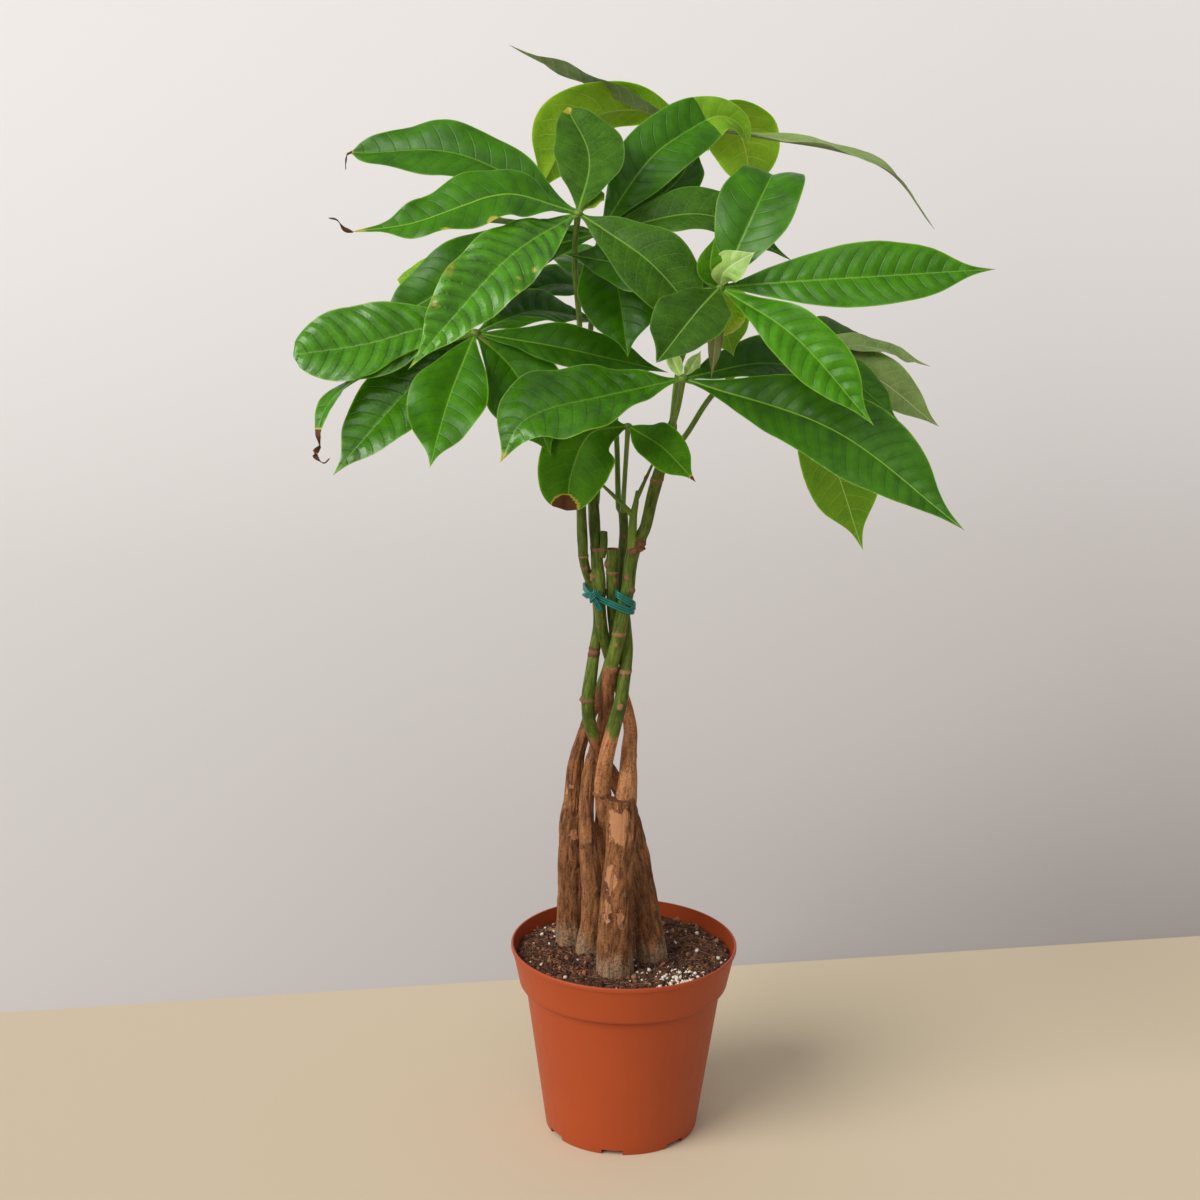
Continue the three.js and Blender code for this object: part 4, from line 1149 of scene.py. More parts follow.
@dataclass
class CompoundLeaf:
    """A leaf of the money tree: stalk, hub, and leaflets that spread like fingers."""

    node: str
    slot: str
    hub: Point
    stalk: Sequence[Point]
    leaflets: Sequence[Leaflet]
    shreds: Sequence[Shred] = ()
    stalk_r: float = 1.75
    hub_r: float = 3.2
    stalk_sides: ClassVar[int] = 14
    stalk_pitch: ClassVar[float] = 3.0
    hub_sides: ClassVar[int] = 18
    finished: ClassVar[dict] = {}

    def skin(self, table: dict, look: LeafLook) -> Material:
        """The material of a look, made once."""
        finish = table[look]
        if finish.name not in self.finished:
            self.finished[finish.name] = finish.material()
        return self.finished[finish.name]

    def stalk_skin(self) -> Material:
        """The stalk's material, made once."""
        if "stalk" not in self.finished:
            self.finished["stalk"] = StalkFinish().material()
        return self.finished["stalk"]

    def build(self) -> Object:
        """Builds the whole leaf as one object.

        Returns:
            The leaf, standing for its node.
        """
        form = Form()
        materials = [self.stalk_skin()]

        def number(material: Material) -> int:
            """Material number on this leaf."""
            if material not in materials:
                materials.append(material)
            return materials.index(material)

        self.add_stalk(form)
        self.add_hub(form)
        for i, leaflet in enumerate(self.leaflets):
            top = number(self.skin(TOPS, leaflet.look))
            under = number(self.skin(UNDERSIDES, leaflet.under or leaflet.look))
            past = number(self.skin(TOPS, leaflet.beyond[1])) if leaflet.beyond else top
            leaflet.add_to(form, self.hub, i + 1 + self.hub[0], (top, under, past))
        for shred in self.shreds:
            shred.add_to(form, self.hub, number(self.skin(TOPS, LeafLook.WILTED)))
        return drape(form.build(self.node + "_foliage", materials), self.slot, self.node)

    def add_stalk(self, form: Form) -> None:
        """Adds the stalk, a little thicker where it joins the stem and the hub."""
        stops = [(*p, self.stalk_r) for p in [*self.stalk, self.hub]]
        centre, out, radius, far = tube(stops, self.stalk_sides, self.stalk_pitch)
        length = far[-1]
        swell = 1 + 0.35 * np.exp(-far / 6) + 0.3 * np.exp(-(length - far) / 6)
        rings = centre[:, None] + out * (radius * swell)[:, None, None]
        grain = out * self.stalk_r
        grain[..., 2] = far[:, None]
        form.skin(rings, np.zeros(self.stalk_sides, int), leaf_facts(rings, grain))

    def add_hub(self, form: Form) -> None:
        """Adds the small knob where the leaflets meet."""
        lat = np.linspace(-0.5 * np.pi, 0.5 * np.pi, 11)[:, None]
        lon = 2 * np.pi * np.arange(self.hub_sides)[None, :] / self.hub_sides
        out = np.stack([np.cos(lat) * np.cos(lon), np.cos(lat) * np.sin(lon),
                        0.85 * np.sin(lat) + 0 * lon], -1)
        lump = 1 + 0.1 * bumpy(out * 2.2, self.hub[0])
        rings = np.array(self.hub) + out * self.hub_r * lump[..., None]
        form.skin(rings, np.zeros(self.hub_sides, int), leaf_facts(rings, out * self.hub_r))


GLOSSY, DULL, DEEP = LeafLook.GLOSSY, LeafLook.DULL, LeafLook.DEEP
BACKLIT, PALE, WILTED = LeafLook.BACKLIT, LeafLook.PALE, LeafLook.WILTED
GREY, MATTE, SHINY = LeafLook.GREY, LeafLook.MATTE, LeafLook.SHINY

LEAVES = [
    CompoundLeaf(
        "leaf_upper_left", "leaf_dull", (-35, -45, 614),
        [(-32.4, -7.4, 441), (-32, -7, 447), (-33, 0, 490), (-34, 6, 530), (-34, 3, 543),
         (-37, -24, 585)],
        [
            Leaflet([(6, 45, 29), (-8, 80, 57)], 42, lean=30, peak=0.58, tip=0.7, look=DULL,
                    quilt=0.35, tail=0.02, marks=[Mark(0.97, -0.3, 4, 0.5)]),
            Leaflet([(-68, 6, 32), (-137, 20, 32)], 42, wave=1.6, quilt=0.3,
                    tip=0.72, tail=0.02, marks=[Mark(1.0, 0, 4, 0.7)]),
            Leaflet([(-33, -16, 11), (-50, -23, 11), (-66, -28, 6), (-96, -35, -4),
                     (-130, -38, -9)], 38, lean=44, wave=2.2, waves=4, fold=0.1, peak=0.42,
                    quilt=0.55, rib=1.0,
                    marks=[Mark(1.0, 0, 11, 0.5), Mark(0.45, -1.0, 5, 0.6),
                           Mark(0.64, -1.0, 4, 0.5)]),
            Leaflet([(-42, -50, -24), (-93, -95, -79)], 44, lean=58, wave=1.8, waves=5,
                    peak=0.5, look=SHINY, under=GLOSSY, quilt=1.25, flutter=1.1,
                    marks=[Mark(1.0, 0, 9, 0.35), Mark(0.6, 1.0, 10, 0.24),
                           Mark(0.74, 1.0, 9, 0.22), Mark(0.4, -0.8, 3, 0.42),
                           Mark(0.47, -0.72, 2.4, 0.42), Mark(0.52, -0.9, 3, 0.3)]),
            Leaflet([(42, -20, -25), (76, -26, -62)], 46, lean=50, wave=1.6, peak=0.6,
                    look=DULL, quilt=0.3),
            Leaflet([(8, 20, 6), (14, 35, 11)], 15, lean=30, look=BACKLIT),
        ],
        [Shred([(-129, -38, -9), (-134, -39, -7), (-138, -39, -2), (-143, -38, -1)], 3.0),
         Shred([(-135, 19, 32), (-138, 19, 31), (-139, 19, 26), (-139, 19, 22)], 1.4)]),
    CompoundLeaf(
        "leaf_upper_middle", "leaf_bright", (-22, 8, 597),
        [(-25, 9.6, 433.5), (-28, 10, 480), (-27, 8, 537)],
        [
            Leaflet([(18, 12, 28), (34, 22, 47), (53, 33, 60), (72, 44, 69), (86, 50, 65),
                     (94, 52, 51)], 42, lean=52, tilt=10, peak=0.46, tip=0.9,
                    under=BACKLIT, beyond=(0.72, BACKLIT), quilt=0.55, tail=0.02),
            Leaflet([(64, -5, 13), (119, 5, -16)], 42, lean=35, look=DULL, quilt=0.3),
            Leaflet([(45, 35, 27), (61, 55, 52)], 40, lean=40, look=DEEP, tip=0.8),
            Leaflet([(11, -30, -28), (18, -50, -69)], 50, lean=60, quilt=0.6),
            Leaflet([(-45, 15, 2), (-89, 25, 6)], 36, lean=0, look=DULL),
            Leaflet([(-71, -5, -22), (-144, -15, -65)], 52, lean=50, quilt=0.5, waves=4),
            Leaflet([(-70, 45, -24), (-132, 78, -40)], 36, lean=50, look=BACKLIT, tip=0.5,
                    tail=0.01),
        ]),
    CompoundLeaf(
        "leaf_right", "leaf_bright", (49, -65, 574),
        [(23.4, -33.4, 482), (24, -32, 489), (28, -34, 525), (42, -54, 560)],
        [
            Leaflet([(76, 0, 6), (162, 5, 12)], 42, lean=60, wave=0.8, quilt=1.0),
            Leaflet([(45, -25, -27), (88, -50, -72)], 38, lean=50, quilt=1.0),
            Leaflet([(13, 8, 29), (23, 18, 49), (31, 34, 62), (33, 58, 58)], 46, lean=40,
                    peak=0.5, tip=0.5, quilt=0.4, tail=0.01),
            Leaflet([(-18, -40, -13), (-38, -70, -34)], 44, tip=0.8, look=DULL, quilt=0.35,
                    rib=0.9),
            Leaflet([(3, -8, 11), (20, -9, 22)], 20, lean=66, fold=0.1, peak=0.5, tip=1.6,
                    look=PALE, tail=0.02, wave=0.4),
            Leaflet([(-6, -5, 12), (-4, -5, 30)], 16, lean=66, fold=0.2, peak=0.42, tip=1.3,
                    look=MATTE, tail=0.02, wave=0.4),
            Leaflet([(3, 25, -20), (11, 34, -46)], 40, lean=45, look=BACKLIT),
            Leaflet([(-1, 8, -27), (-3, 12, -56)], 9, lean=60, look=WILTED),
            Leaflet([(-47, 22, 8), (-92, 28, 15)], 34, lean=55, look=DEEP),
        ]),
    CompoundLeaf(
        "leaf_lower_right", "leaf_deep", (29, -50, 517),
        [(23, -34.6, 480), (24, -36.5, 486), (27, -43, 500)],
        [
            Leaflet([(-51, -22, -8), (-92, -45, -18), (-107, -58, -41)], 52, peak=0.62,
                    look=SHINY, under=GLOSSY, quilt=0.65, waves=4, wave=1.8,
                    marks=[Mark(1.0, 0, 10, 0.5)]),
            Leaflet([(88, -30, -24), (164, -60, -77)], 56, look=DEEP, quilt=0.8, rib=1.0),
            Leaflet([(51, 25, 6), (105, 40, -10)], 40, lean=35, look=DEEP),
            Leaflet([(-4, 10, 6), (-10, 12, 20)], 9, lean=70, look=PALE),
            Leaflet([(5, 8, 5), (11, 8, 16)], 9, lean=70, look=PALE),
        ]),
    CompoundLeaf(
        "leaf_left", "leaf_deep", (-97, -25, 539),
        [(-33.4, -8.4, 436), (-37, -12, 441), (-56, -20, 485), (-82, -25, 524)],
        [
            Leaflet([(-30, -8, 4), (-64, -15, -5), (-108, -22, -12)], 52, lean=55, peak=0.66,
                    tip=0.45, look=SHINY, under=GLOSSY, quilt=1.1, tail=0.01),
            Leaflet([(-26, -14, -7), (-53, -22, -17), (-76, -30, -29), (-87, -38, -41),
                     (-91, -44, -54), (-90, -46, -64)], 20, lean=-4, tip=0.8,
                    under=MATTE, marks=[Mark(1.0, 0, 14, 1.0)]),
            Leaflet([(-43, -20, -36), (-82, -50, -79)], 44, look=SHINY, under=GLOSSY, quilt=0.7),
            Leaflet([(-14, -36, -35), (-23, -66, -70)], 46, lean=50, quilt=0.6),
            Leaflet([(26, -5, -25), (47, -20, -71)], 50, lean=55, quilt=0.6),
            Leaflet([(61, 2, -10), (118, 8, -24)], 34, lean=42, look=DEEP),
            Leaflet([(38, 39, 9), (76, 66, -2)], 38, lean=30, look=DEEP, quilt=1.1),
        ],
        [Shred([(-90, -46, -62), (-93, -47, -67), (-88, -47, -72), (-84, -47, -69)], 4.0)]),
    CompoundLeaf(
        "leaf_top_rear", "leaf_young", (40, 88, 656),
        [(-23.4, 10.2, 426), (-21.5, 12.5, 432), (-18, 30, 500), (-8, 46, 570), (6, 55, 618)],
        [
            Leaflet([(-38, 0, 12), (-76, -14, 2), (-103, -26, -41)], 54, lean=-50, peak=0.62,
                    look=DEEP, under=BACKLIT),
            Leaflet([(-56, -8, 20), (-121, -15, 51)], 34, lean=-14, look=GREY),
            Leaflet([(42, -8, -4), (85, -14, -11), (123, -18, -26), (152, -22, -60)], 42,
                    lean=2, look=GREY),
            Leaflet([(21, 15, 6), (33, 30, -15), (37, 35, -48)], 48, lean=-50, look=DEEP,
                    under=BACKLIT),
            Leaflet([(5, 60, 4), (12, 115, -22)], 46, lean=-20),
        ]),
    CompoundLeaf(
        "leaf_right_rear", "leaf_dull", (99, 70, 517),
        [(20.4, -24.6, 461), (23.4, -19.6, 464), (34, -5, 475), (52, 20, 497), (80, 54, 513)],
        [
            Leaflet([(36, 35, 5), (73, 60, -12)], 42, lean=20, look=DULL),
            Leaflet([(50, 10, 2), (99, 25, -14)], 30, lean=15, look=GREY),
            Leaflet([(55, -5, -15), (101, -15, -47)], 38, look=GREY, quilt=0.6, rib=1.0),
            Leaflet([(40, -25, -14), (72, -40, -40)], 30, lean=30),
            Leaflet([(8, -10, -28), (31, -25, -67), (52, -40, -124)], 56, lean=-45, look=DEEP,
                    under=MATTE, rib=1.0),
        ]),
    CompoundLeaf(
        "leaf_low_front", "leaf_young", (-3, -20, 482),
        [(-5, 6.6, 422), (-5, 2.5, 429), (-4, -8, 456)],
        [
            Leaflet([(-23, -12, -3), (-34, -22, -24), (-37, -26, -48)], 46, lean=62, tip=0.4,
                    look=MATTE, tail=0.01, quilt=0.4,
                    marks=[Mark(0.98, 0.1, 9.5, 0.92)]),
            Leaflet([(20, -28, -7), (41, -36, -27)], 28, lean=60, look=MATTE,
                    marks=[Mark(1.0, 0, 5, 1.0)]),
        ],
        stalk_r=1.5, hub_r=2.4),
    CompoundLeaf(
        "leaf_rear", "leaf_deep", (-18, 75, 552),
        [(-6, 11, 421), (-8, 14.5, 427), (-10, 34, 470), (-15, 58, 520)],
        [
            Leaflet([(-31, -20, 7), (-64, -30, -2)], 34, lean=30, look=DEEP),
            Leaflet([(-17, 20, 17), (-34, 45, 20)], 34, lean=30, look=DEEP),
            Leaflet([(10, 50, 8), (25, 100, -18)], 48, lean=-20),
            Leaflet([(-50, 40, 8), (-100, 75, -22)], 48, lean=-10),
            Leaflet([(50, 25, 8), (98, 50, -20)], 48, lean=0, look=DEEP),
        ]),
]


# --- Stems ---


@dataclass(frozen=True)
class Scar:
    """An old leaf scar: its place, size, how far it stands out, and its tone up to 1.

    A band goes round the stem at that height.
    """

    at: Point
    size: float
    rise: float = 0.8
    tone: float = 0.3
    band: bool = False


@dataclass(frozen=True)
class Shoot:
    """A round length of stem: its stops, where it turns green, and how cracked its bark is.

    Flakes are places and sizes of shed bark, and young is how light its green is.
    """

    stops: Sequence[Section]
    green_from: float = 1000.0
    crack: float = 0.0
    flakes: Sequence[tuple[Point, float]] = ()
    cut: bool = False
    sides: int = 40
    pitch: float = 1.3
    young: float = 0.0


@dataclass
class Trunk:
    """One of the tied stems, from its foot in the soil to its last leaf."""

    node: str
    shoots: Sequence[Shoot]
    scars: Sequence[Scar] = ()
    soil_z: ClassVar[float] = 122.0
    band_reach: ClassVar[float] = 16.0

    def build(self, bark: Material) -> Object:
        """Builds the stem as one object.

        Args:
            bark: Material of all stems.

        Returns:
            The stem, standing for its node.
        """
        form = Form()
        for i, shoot in enumerate(self.shoots):
            self.add_shoot(form, shoot, i)
        return drape(form.build(self.node + "_bark", [bark], crease=70), "bark", self.node)

    def add_shoot(self, form: Form, shoot: Shoot, number: int) -> None:
        """Adds one length of stem with its cracks, scars and cut end.

        Args:
            form: Collects the stem.
            shoot: The length to add.
            number: Its number on this stem, for the random draws.
        """
        centre, out, radius, far = tube(shoot.stops, shoot.sides, shoot.pitch)
        seed = number * 3.0 + shoot.stops[0][0]
        place = centre[:, None] + out * radius[:, None, None]
        grain = out * radius[:, None, None]
        grain[..., 2] = far[:, None] + 0 * grain[..., 2]
        z = centre[:, None, 2] + 0 * grain[..., 2]
        old = smooth(z, shoot.green_from + 10, shoot.green_from - 40) * shoot.crack
        ridges = 1 - np.abs(bumpy(grain * [0.42, 0.42, 0.05], seed))
        ridges = np.clip(ridges, 0, 1) ** 5
        fine = bumpy(grain * [1.1, 1.1, 0.16], seed + 4)
        lumps = bumpy(grain * [0.12, 0.12, 0.06], seed + 8)
        offset = (0.5 * lumps * np.minimum(1, radius / 5)[:, None]
                  - old * 0.75 * ridges + old * 0.28 * fine)
        foot = smooth(z, self.soil_z + 26, self.soil_z) * (number == 0)
        offset = offset + foot * (0.6 + 0.8 * bumpy(grain * [0.2, 0.2, 0.03], seed + 11))
        flaking = self.flaking(shoot, place, grain, seed)
        offset = offset * (1 - 0.6 * flaking) - 0.55 * flaking
        offset, scar, tone = self.scarred(offset, place, seed)
        rings = centre[:, None] + out * (radius[:, None] + offset)[..., None]
        grey = smooth(z + 9 * bumpy(grain * [0.15, 0.15, 0.08], seed + 14),
                      self.soil_z + 46, self.soil_z + 4) * (number == 0)
        bark = np.stack([z - shoot.green_from, scar, old * ridges], -1)
        ages = np.stack([flaking, grey, tone], -1)
        if shoot.cut:
            rings, grain, bark, ages = self.cut_end(rings, grain, bark, ages, seed)
        wood = np.broadcast_to([1 - shoot.crack, shoot.young, 0.0], rings.shape)
        form.skin(rings, np.zeros(shoot.sides, int),
                  {"grain": grain, "bark": bark, "old": ages, "wood": wood})

    @staticmethod
    def flaking(shoot: Shoot, place: Array, grain: Array, seed: float) -> Array:
        """Where bark was shed, with torn edges.

        Args:
            shoot: The length of stem.
            place: Places on its round form.
            grain: Straightened coordinates of the same places.
            seed: Number for the random draws.

        Returns:
            Shares from 0 to 1.
        """
        flaking = np.zeros(place.shape[:2])
        for spot, size in shoot.flakes:
            gone = np.linalg.norm((place - np.array(spot)) * [1, 1, 0.6], axis=-1)
            torn = size * (1 + 0.45 * bumpy(grain * [0.4, 0.4, 0.3], seed + 21)
                           + 0.2 * bumpy(grain * [1.3, 1.3, 0.9], seed + 23))
            flaking = np.maximum(flaking, smooth(gone, torn, torn - 0.7))
        return flaking

    def scarred(self, offset: Array, place: Array, seed: float) -> tuple[Array, Array, Array]:
        """Raises the leaf scars.

        Args:
            offset: How far the bark stands out without them.
            place: Places on the stem's round form.
            seed: Number for the random draws.

        Returns:
            The new offset, how much of a scar each place is, and the scars' tone.
        """
        scar = np.zeros_like(offset)
        tone = np.full_like(offset, 0.3)
        crust = bumpy(place * 0.75, seed + 41)
        for mark in self.scars:
            away = place - np.array(mark.at)
            wander = 1 + 0.3 * bumpy(place * 0.45, mark.size + mark.at[2])
            if mark.band:
                gone = np.abs(away[..., 2]) * wander
                gone = np.where(np.linalg.norm(away, axis=-1) < self.band_reach, gone, 99)
            else:
                gone = np.linalg.norm(away, axis=-1) * wander
            near = 1 - smooth(gone, 0.5 * mark.size, mark.size)
            face = 1 - smooth(gone, 0.15 * mark.size, 0.55 * mark.size)
            offset = offset + mark.rise * near * (1 - 0.5 * face + 0.45 * crust)
            tone = np.where(near > scar, mark.tone + 0.35 * face, tone)
            scar = np.maximum(scar, near)
        return offset, scar, tone

    @staticmethod
    def cut_end(rings: Array, grain: Array, bark: Array, ages: Array,
                seed: float) -> tuple[Array, Array, Array, Array]:
        """Closes a length with a weathered saw cut, a little hollow and with a raised rim.

        Args:
            rings: Rings so far.
            grain: Straightened coordinates of the rings.
            bark: Height above the green line, scar share and crack share.
            ages: Flaking, greying and scar tone.
            seed: Number for the random draws.

        Returns:
            The four arrays with the cut face's rings added.
        """
        middle = rings[-1].mean(axis=0)
        along = rings[-1].mean(axis=0) - rings[-3].mean(axis=0)
        along /= np.linalg.norm(along)
        shrink = np.array([0.93, 0.84, 0.65, 0.42, 0.2, 0.04])
        rise = np.array([0.5, 0.1, -0.5, -0.9, -0.8, -0.8])
        wood = np.repeat(bark[-1:], len(shrink), axis=0)
        wood[..., 1] = 1.0
        wood[..., 2] = 0.0
        aged = np.repeat(ages[-1:], len(shrink), axis=0)
        aged[..., 2] = 0.15
        extra = []
        for k, (share, up) in enumerate(zip(shrink, rise)):
            flat = middle + (rings[-1] - middle) * share
            rough = 0.3 * bumpy(flat * 0.8, seed + 30)
            extra.append(flat + along * (up + rough)[:, None])
        inner = grain[-1:] * np.array([1, 1, 0]) * shrink[:, None, None]
        inner[..., 2] = grain[-1, 0, 2]
        return (np.concatenate([rings, np.array(extra)]), np.concatenate([grain, inner]),
                np.concatenate([bark, wood]), np.concatenate([ages, aged]))


TRUNKS = [
    Trunk("stem_front", [
        Shoot([(-6, -31, 110, 11.8), (-6, -31, 128, 11.8), (-6, -29, 168, 10.8),
               (-4, -27, 198, 9.6), (-3, -25, 225, 9.6), (-3, -24, 239, 9)],
              crack=1.0, cut=True, sides=84, pitch=0.95,
              flakes=[((-8, -35, 224), 7), ((0, -35, 230), 4), ((-3, -35, 219), 4.5),
                      ((-11, -36, 192), 4.5), ((-9, -36, 186), 4), ((-12, -38, 170), 3.2),
                      ((-11.5, -38, 163), 2.6), ((-2.5, -40, 163), 3), ((-2, -40, 158), 2.2),
                      ((3, -33, 216), 2.4)]),
        Shoot([(-3, -21, 214, 7.5), (0, -16, 240, 6.8), (1, -9, 256, 5.8), (1.5, -3, 267, 5.3),
               (2, 2, 277, 4.7), (0, 3, 288, 4.3), (-3, 2, 299, 4.1), (-7, -0.5, 311, 3.9),
               (-10.5, -4, 323, 3.7), (-15, -8.4, 338, 3.5), (-17.3, -12.7, 351, 3.5),
               (-18.9, -15.4, 365, 3.8), (-19.5, -14.5, 380, 4.2), (-21, -7.5, 392, 3.9),
               (-22.5, 0, 408, 3.6), (-24, 9, 428, 3.4), (-25.6, 9.6, 448, 3.1),
               (-27.4, 9.9, 468, 2.6), (-28, 10, 484, 2.0)], green_from=309, crack=0.35),
        Shoot([(-18.5, -7, 395, 2.6), (-17, -5.5, 403, 2.5), (-17, -5, 411, 2.3)],
              green_from=200, cut=True, sides=24),
    ], [Scar((5, -8, 264), 2.96, 0.7, 0.7), Scar((-23.9, -13.7, 384), 3.4, 1.4, 0.5),
        Scar((-24.5, -15.4, 379), 1.92, 1.6, 0.0), Scar((-20, -17, 352), 1.78, 0.5, 0.6),
        Scar((-22, -4, 400), 1.26, 0.3, 0.3, True), Scar((-26.3, 0.5, 415), 1.92, 1.2, 0.7),
        Scar((3, -2, 300), 2.52, 0.5, 0.5), Scar((-24, 9, 428), 3.33, 0.6, 0.3)]),
    Trunk("stem_left_front", [
        Shoot([(-23, -1, 110, 8), (-23, -1, 128, 8), (-21, -3, 161, 7.4), (-24, -6, 198, 6.4),
               (-26, -5, 223, 5.2), (-25, 2, 242, 4.8), (-23, 7, 254, 4.6), (-20, 8, 264, 4.5),
               (-16, 4, 279, 4.5), (-14, -6, 299, 4.7), (-13, -11, 315, 4.7),
               (-10.6, -14.6, 329, 4.5), (-7.4, -15.7, 343, 4.4), (-5.3, -17, 358, 4.5),
               (-3.3, -17.2, 369, 4.5), (-1.2, -16, 378, 4.3), (-0.3, -14, 389, 4.3),
               (1, -12, 398, 4.4), (4.5, -9.5, 407, 4.2), (9, -11, 416, 3.8),
               (12.5, -16, 435, 3.9), (15.5, -21.5, 449, 3.8), (18.5, -26, 461, 3.6),
               (22.8, -33.6, 480, 3.4), (23.6, -34.3, 485, 3.3), (24, -34.5, 488, 2.4),
               (24.1, -34.5, 489.4, 1.1)], green_from=327, crack=0.8, sides=48),
        Shoot([(0.5, -12, 401, 2.8), (0.9, -13, 414, 2.7), (1.3, -13.5, 424, 2.4),
               (2.8, -14, 433, 1.8), (3.4, -14, 440, 0.9)], green_from=200, sides=24, young=0.6),
        Shoot([(0, -13.8, 425, 1.8), (-8.5, -14, 434, 1.4), (-18, -14, 443, 0.9)],
              green_from=200, sides=20, young=0.6),
        Shoot([(3.2, -14, 435, 1.5), (9, -15.5, 449, 1.1), (14, -17, 461, 0.8)],
              green_from=200, sides=20, young=0.6),
    ], [Scar((-8.8, -20, 348), 1.43, 0.35, 0.75, True), Scar((-8.6, -20.5, 341), 1.78, 0.4, 0.6),
        Scar((-8.6, -18.6, 324), 3.26, 0.6, 0.85), Scar((-2.4, -19, 385), 2.52, 1.0, 0.35),
        Scar((1.5, -19.3, 377), 2.66, 1.0, 0.35), Scar((6.2, -13.6, 405), 5.8, 2.0, 0.1),
        Scar((1.5, -15.5, 401), 3.11, 1.3, 0.15), Scar((3, -14.5, 402), 1.34, 0.5, 0.1, True),
        Scar((-24.7, -11.7, 206), 3.26, 1.0, 0.45), Scar((-28, -10.5, 202), 2.52, 1.2, 0.1),
        Scar((-17.7, -9.6, 170), 2.66, 0.9, 0.15), Scar((14, -22, 449), 1.09, 0.4, 0.4, True),
        Scar((23, -34, 482), 3.11, 0.5, 0.4)]),
    Trunk("stem_left", [
        Shoot([(-34.5, 17, 110, 11), (-34.5, 17, 128, 11), (-35, 15, 157, 9.8),
               (-35.5, 12, 193, 8.6), (-35, 9, 214, 8), (-34, 8, 228, 6.8), (-34, 8, 242, 5.7),
               (-32.5, 10, 255, 5.2), (-29.5, 12, 267, 4.7), (-24.5, 14, 283, 4.4),
               (-20, 13, 294, 4.2), (-16.5, 10.5, 306, 4), (-13, 6.5, 318, 3.8),
               (-10.6, 2.2, 331, 3.6), (-9.6, -4.9, 345, 3.5), (-10.4, -9.5, 357, 3.7),
               (-10.8, -12, 369, 3.8), (-11.2, -12, 382, 3.9), (-11.2, -12, 401.5, 4.1)],
              green_from=300, crack=1.0, sides=72, pitch=1.1, cut=True,
              flakes=[((-40, 3, 236), 3), ((-34, 1, 205), 3.5), ((-31, 3, 178), 3)]),
    ], [Scar((-40, 3.5, 224), 3.4, 1.0, 0.35), Scar((-36, 2.5, 238), 2.22, 0.5, 0.8),
        Scar((-15, -13.4, 392), 3.4, 1.1, 0.3), Scar((-8.4, -15.2, 382), 2.66, 1.0, 0.35),
        Scar((-11, -16, 387), 1.26, 0.4, 0.3, True)]),
    Trunk("stem_right", [
        Shoot([(18, -8, 110, 10.5), (18, -8, 128, 10.5), (13, -5, 159, 9.6), (8, 1, 188, 8.5),
               (3.5, 6, 212, 7), (-2, 10, 230, 5.4), (-10, 8, 245, 4.7), (-14, 3, 254, 4.5),
               (-18, -4, 264, 4.3), (-22, -9, 277, 4.3), (-25, -12, 290, 4.4),
               (-25.7, -13.5, 303, 4.3), (-24.3, -13.5, 316, 4), (-22.8, -10, 328, 3.7),
               (-21.4, -4.5, 338, 3.4), (-19.8, -3.8, 350, 3.3), (-20.4, -4.6, 362, 3.1),
               (-21.9, -5.4, 371, 3.1), (-26.8, -6, 383, 3.1), (-29.6, -8, 394, 3.1),
               (-30.4, -9, 407, 3.2), (-32, -7.2, 437, 3.3), (-32.4, -7.6, 443, 3.4),
               (-32.6, -7.8, 446.4, 2.6), (-32.7, -7.9, 448, 1.2)],
              green_from=278, crack=0.9, sides=64, pitch=1.15),
    ], [Scar((-29, -15.5, 303), 2.81, 1.1, 0.3), Scar((-25, -17, 303), 1.18, 0.4, 0.35, True),
        Scar((-22, -12, 333.5), 3.4, 0.3, 0.0, True), Scar((-28.5, -9, 388), 2.66, 0.9, 0.3),
        Scar((-30, -9, 396), 1.09, 0.4, 0.5, True), Scar((15, -14, 180), 2.96, 0.5, 0.7),
        Scar((-32, -7, 440), 3.26, 0.6, 0.3), Scar((-21, -15, 312), 1.63, 0.4, 0.7)]),
    Trunk("stem_back", [
        Shoot([(-9, 25, 110, 8), (-9, 25, 128, 8), (-12, 20, 174, 7.4), (-14, 11, 200, 6.8),
               (-14, -1, 222, 6.1), (-15.5, -10, 240, 5.6), (-15.3, -14, 252, 5.2),
               (-13.5, -17, 264, 5), (-10.6, -19, 280, 4.7), (-8, -19, 291, 4.6),
               (-5, -18, 303, 4.4), (-3, -15, 315, 4.2), (-2, -10.5, 326, 4),
               (-1.5, -6.5, 338, 3.8), (-2.2, -5, 350, 3.5), (-4, -7, 367, 3.2),
               (-5, -3, 379, 3.2), (-5, 2, 391, 3.1), (-4.3, 7, 407, 3), (-5, 8.6, 421, 3),
               (-5.4, 8.8, 425, 2.4), (-5.5, 8.8, 426.6, 1.2)],
              green_from=282, crack=0.3, sides=48),
    ], [Scar((-19.5, -12, 238), 3.26, 1.2, 0.3), Scar((-16, -15, 236), 2.37, 0.5, 0.05),
        Scar((-14, -16, 238), 1.09, 0.3, 0.6, True), Scar((-3, -17, 322), 1.51, 0.5, 0.7, True),
        Scar((-3.4, -19, 320), 2.22, 0.9, 0.5), Scar((-5.4, -22.5, 301), 2.37, 0.5, 1.0),
        Scar((-4.2, 4, 406), 2.66, 0.9, 0.2), Scar((-12.5, -22, 262), 1.78, 0.3, 0.5)]),
]


# --- Pot, soil and tie ---


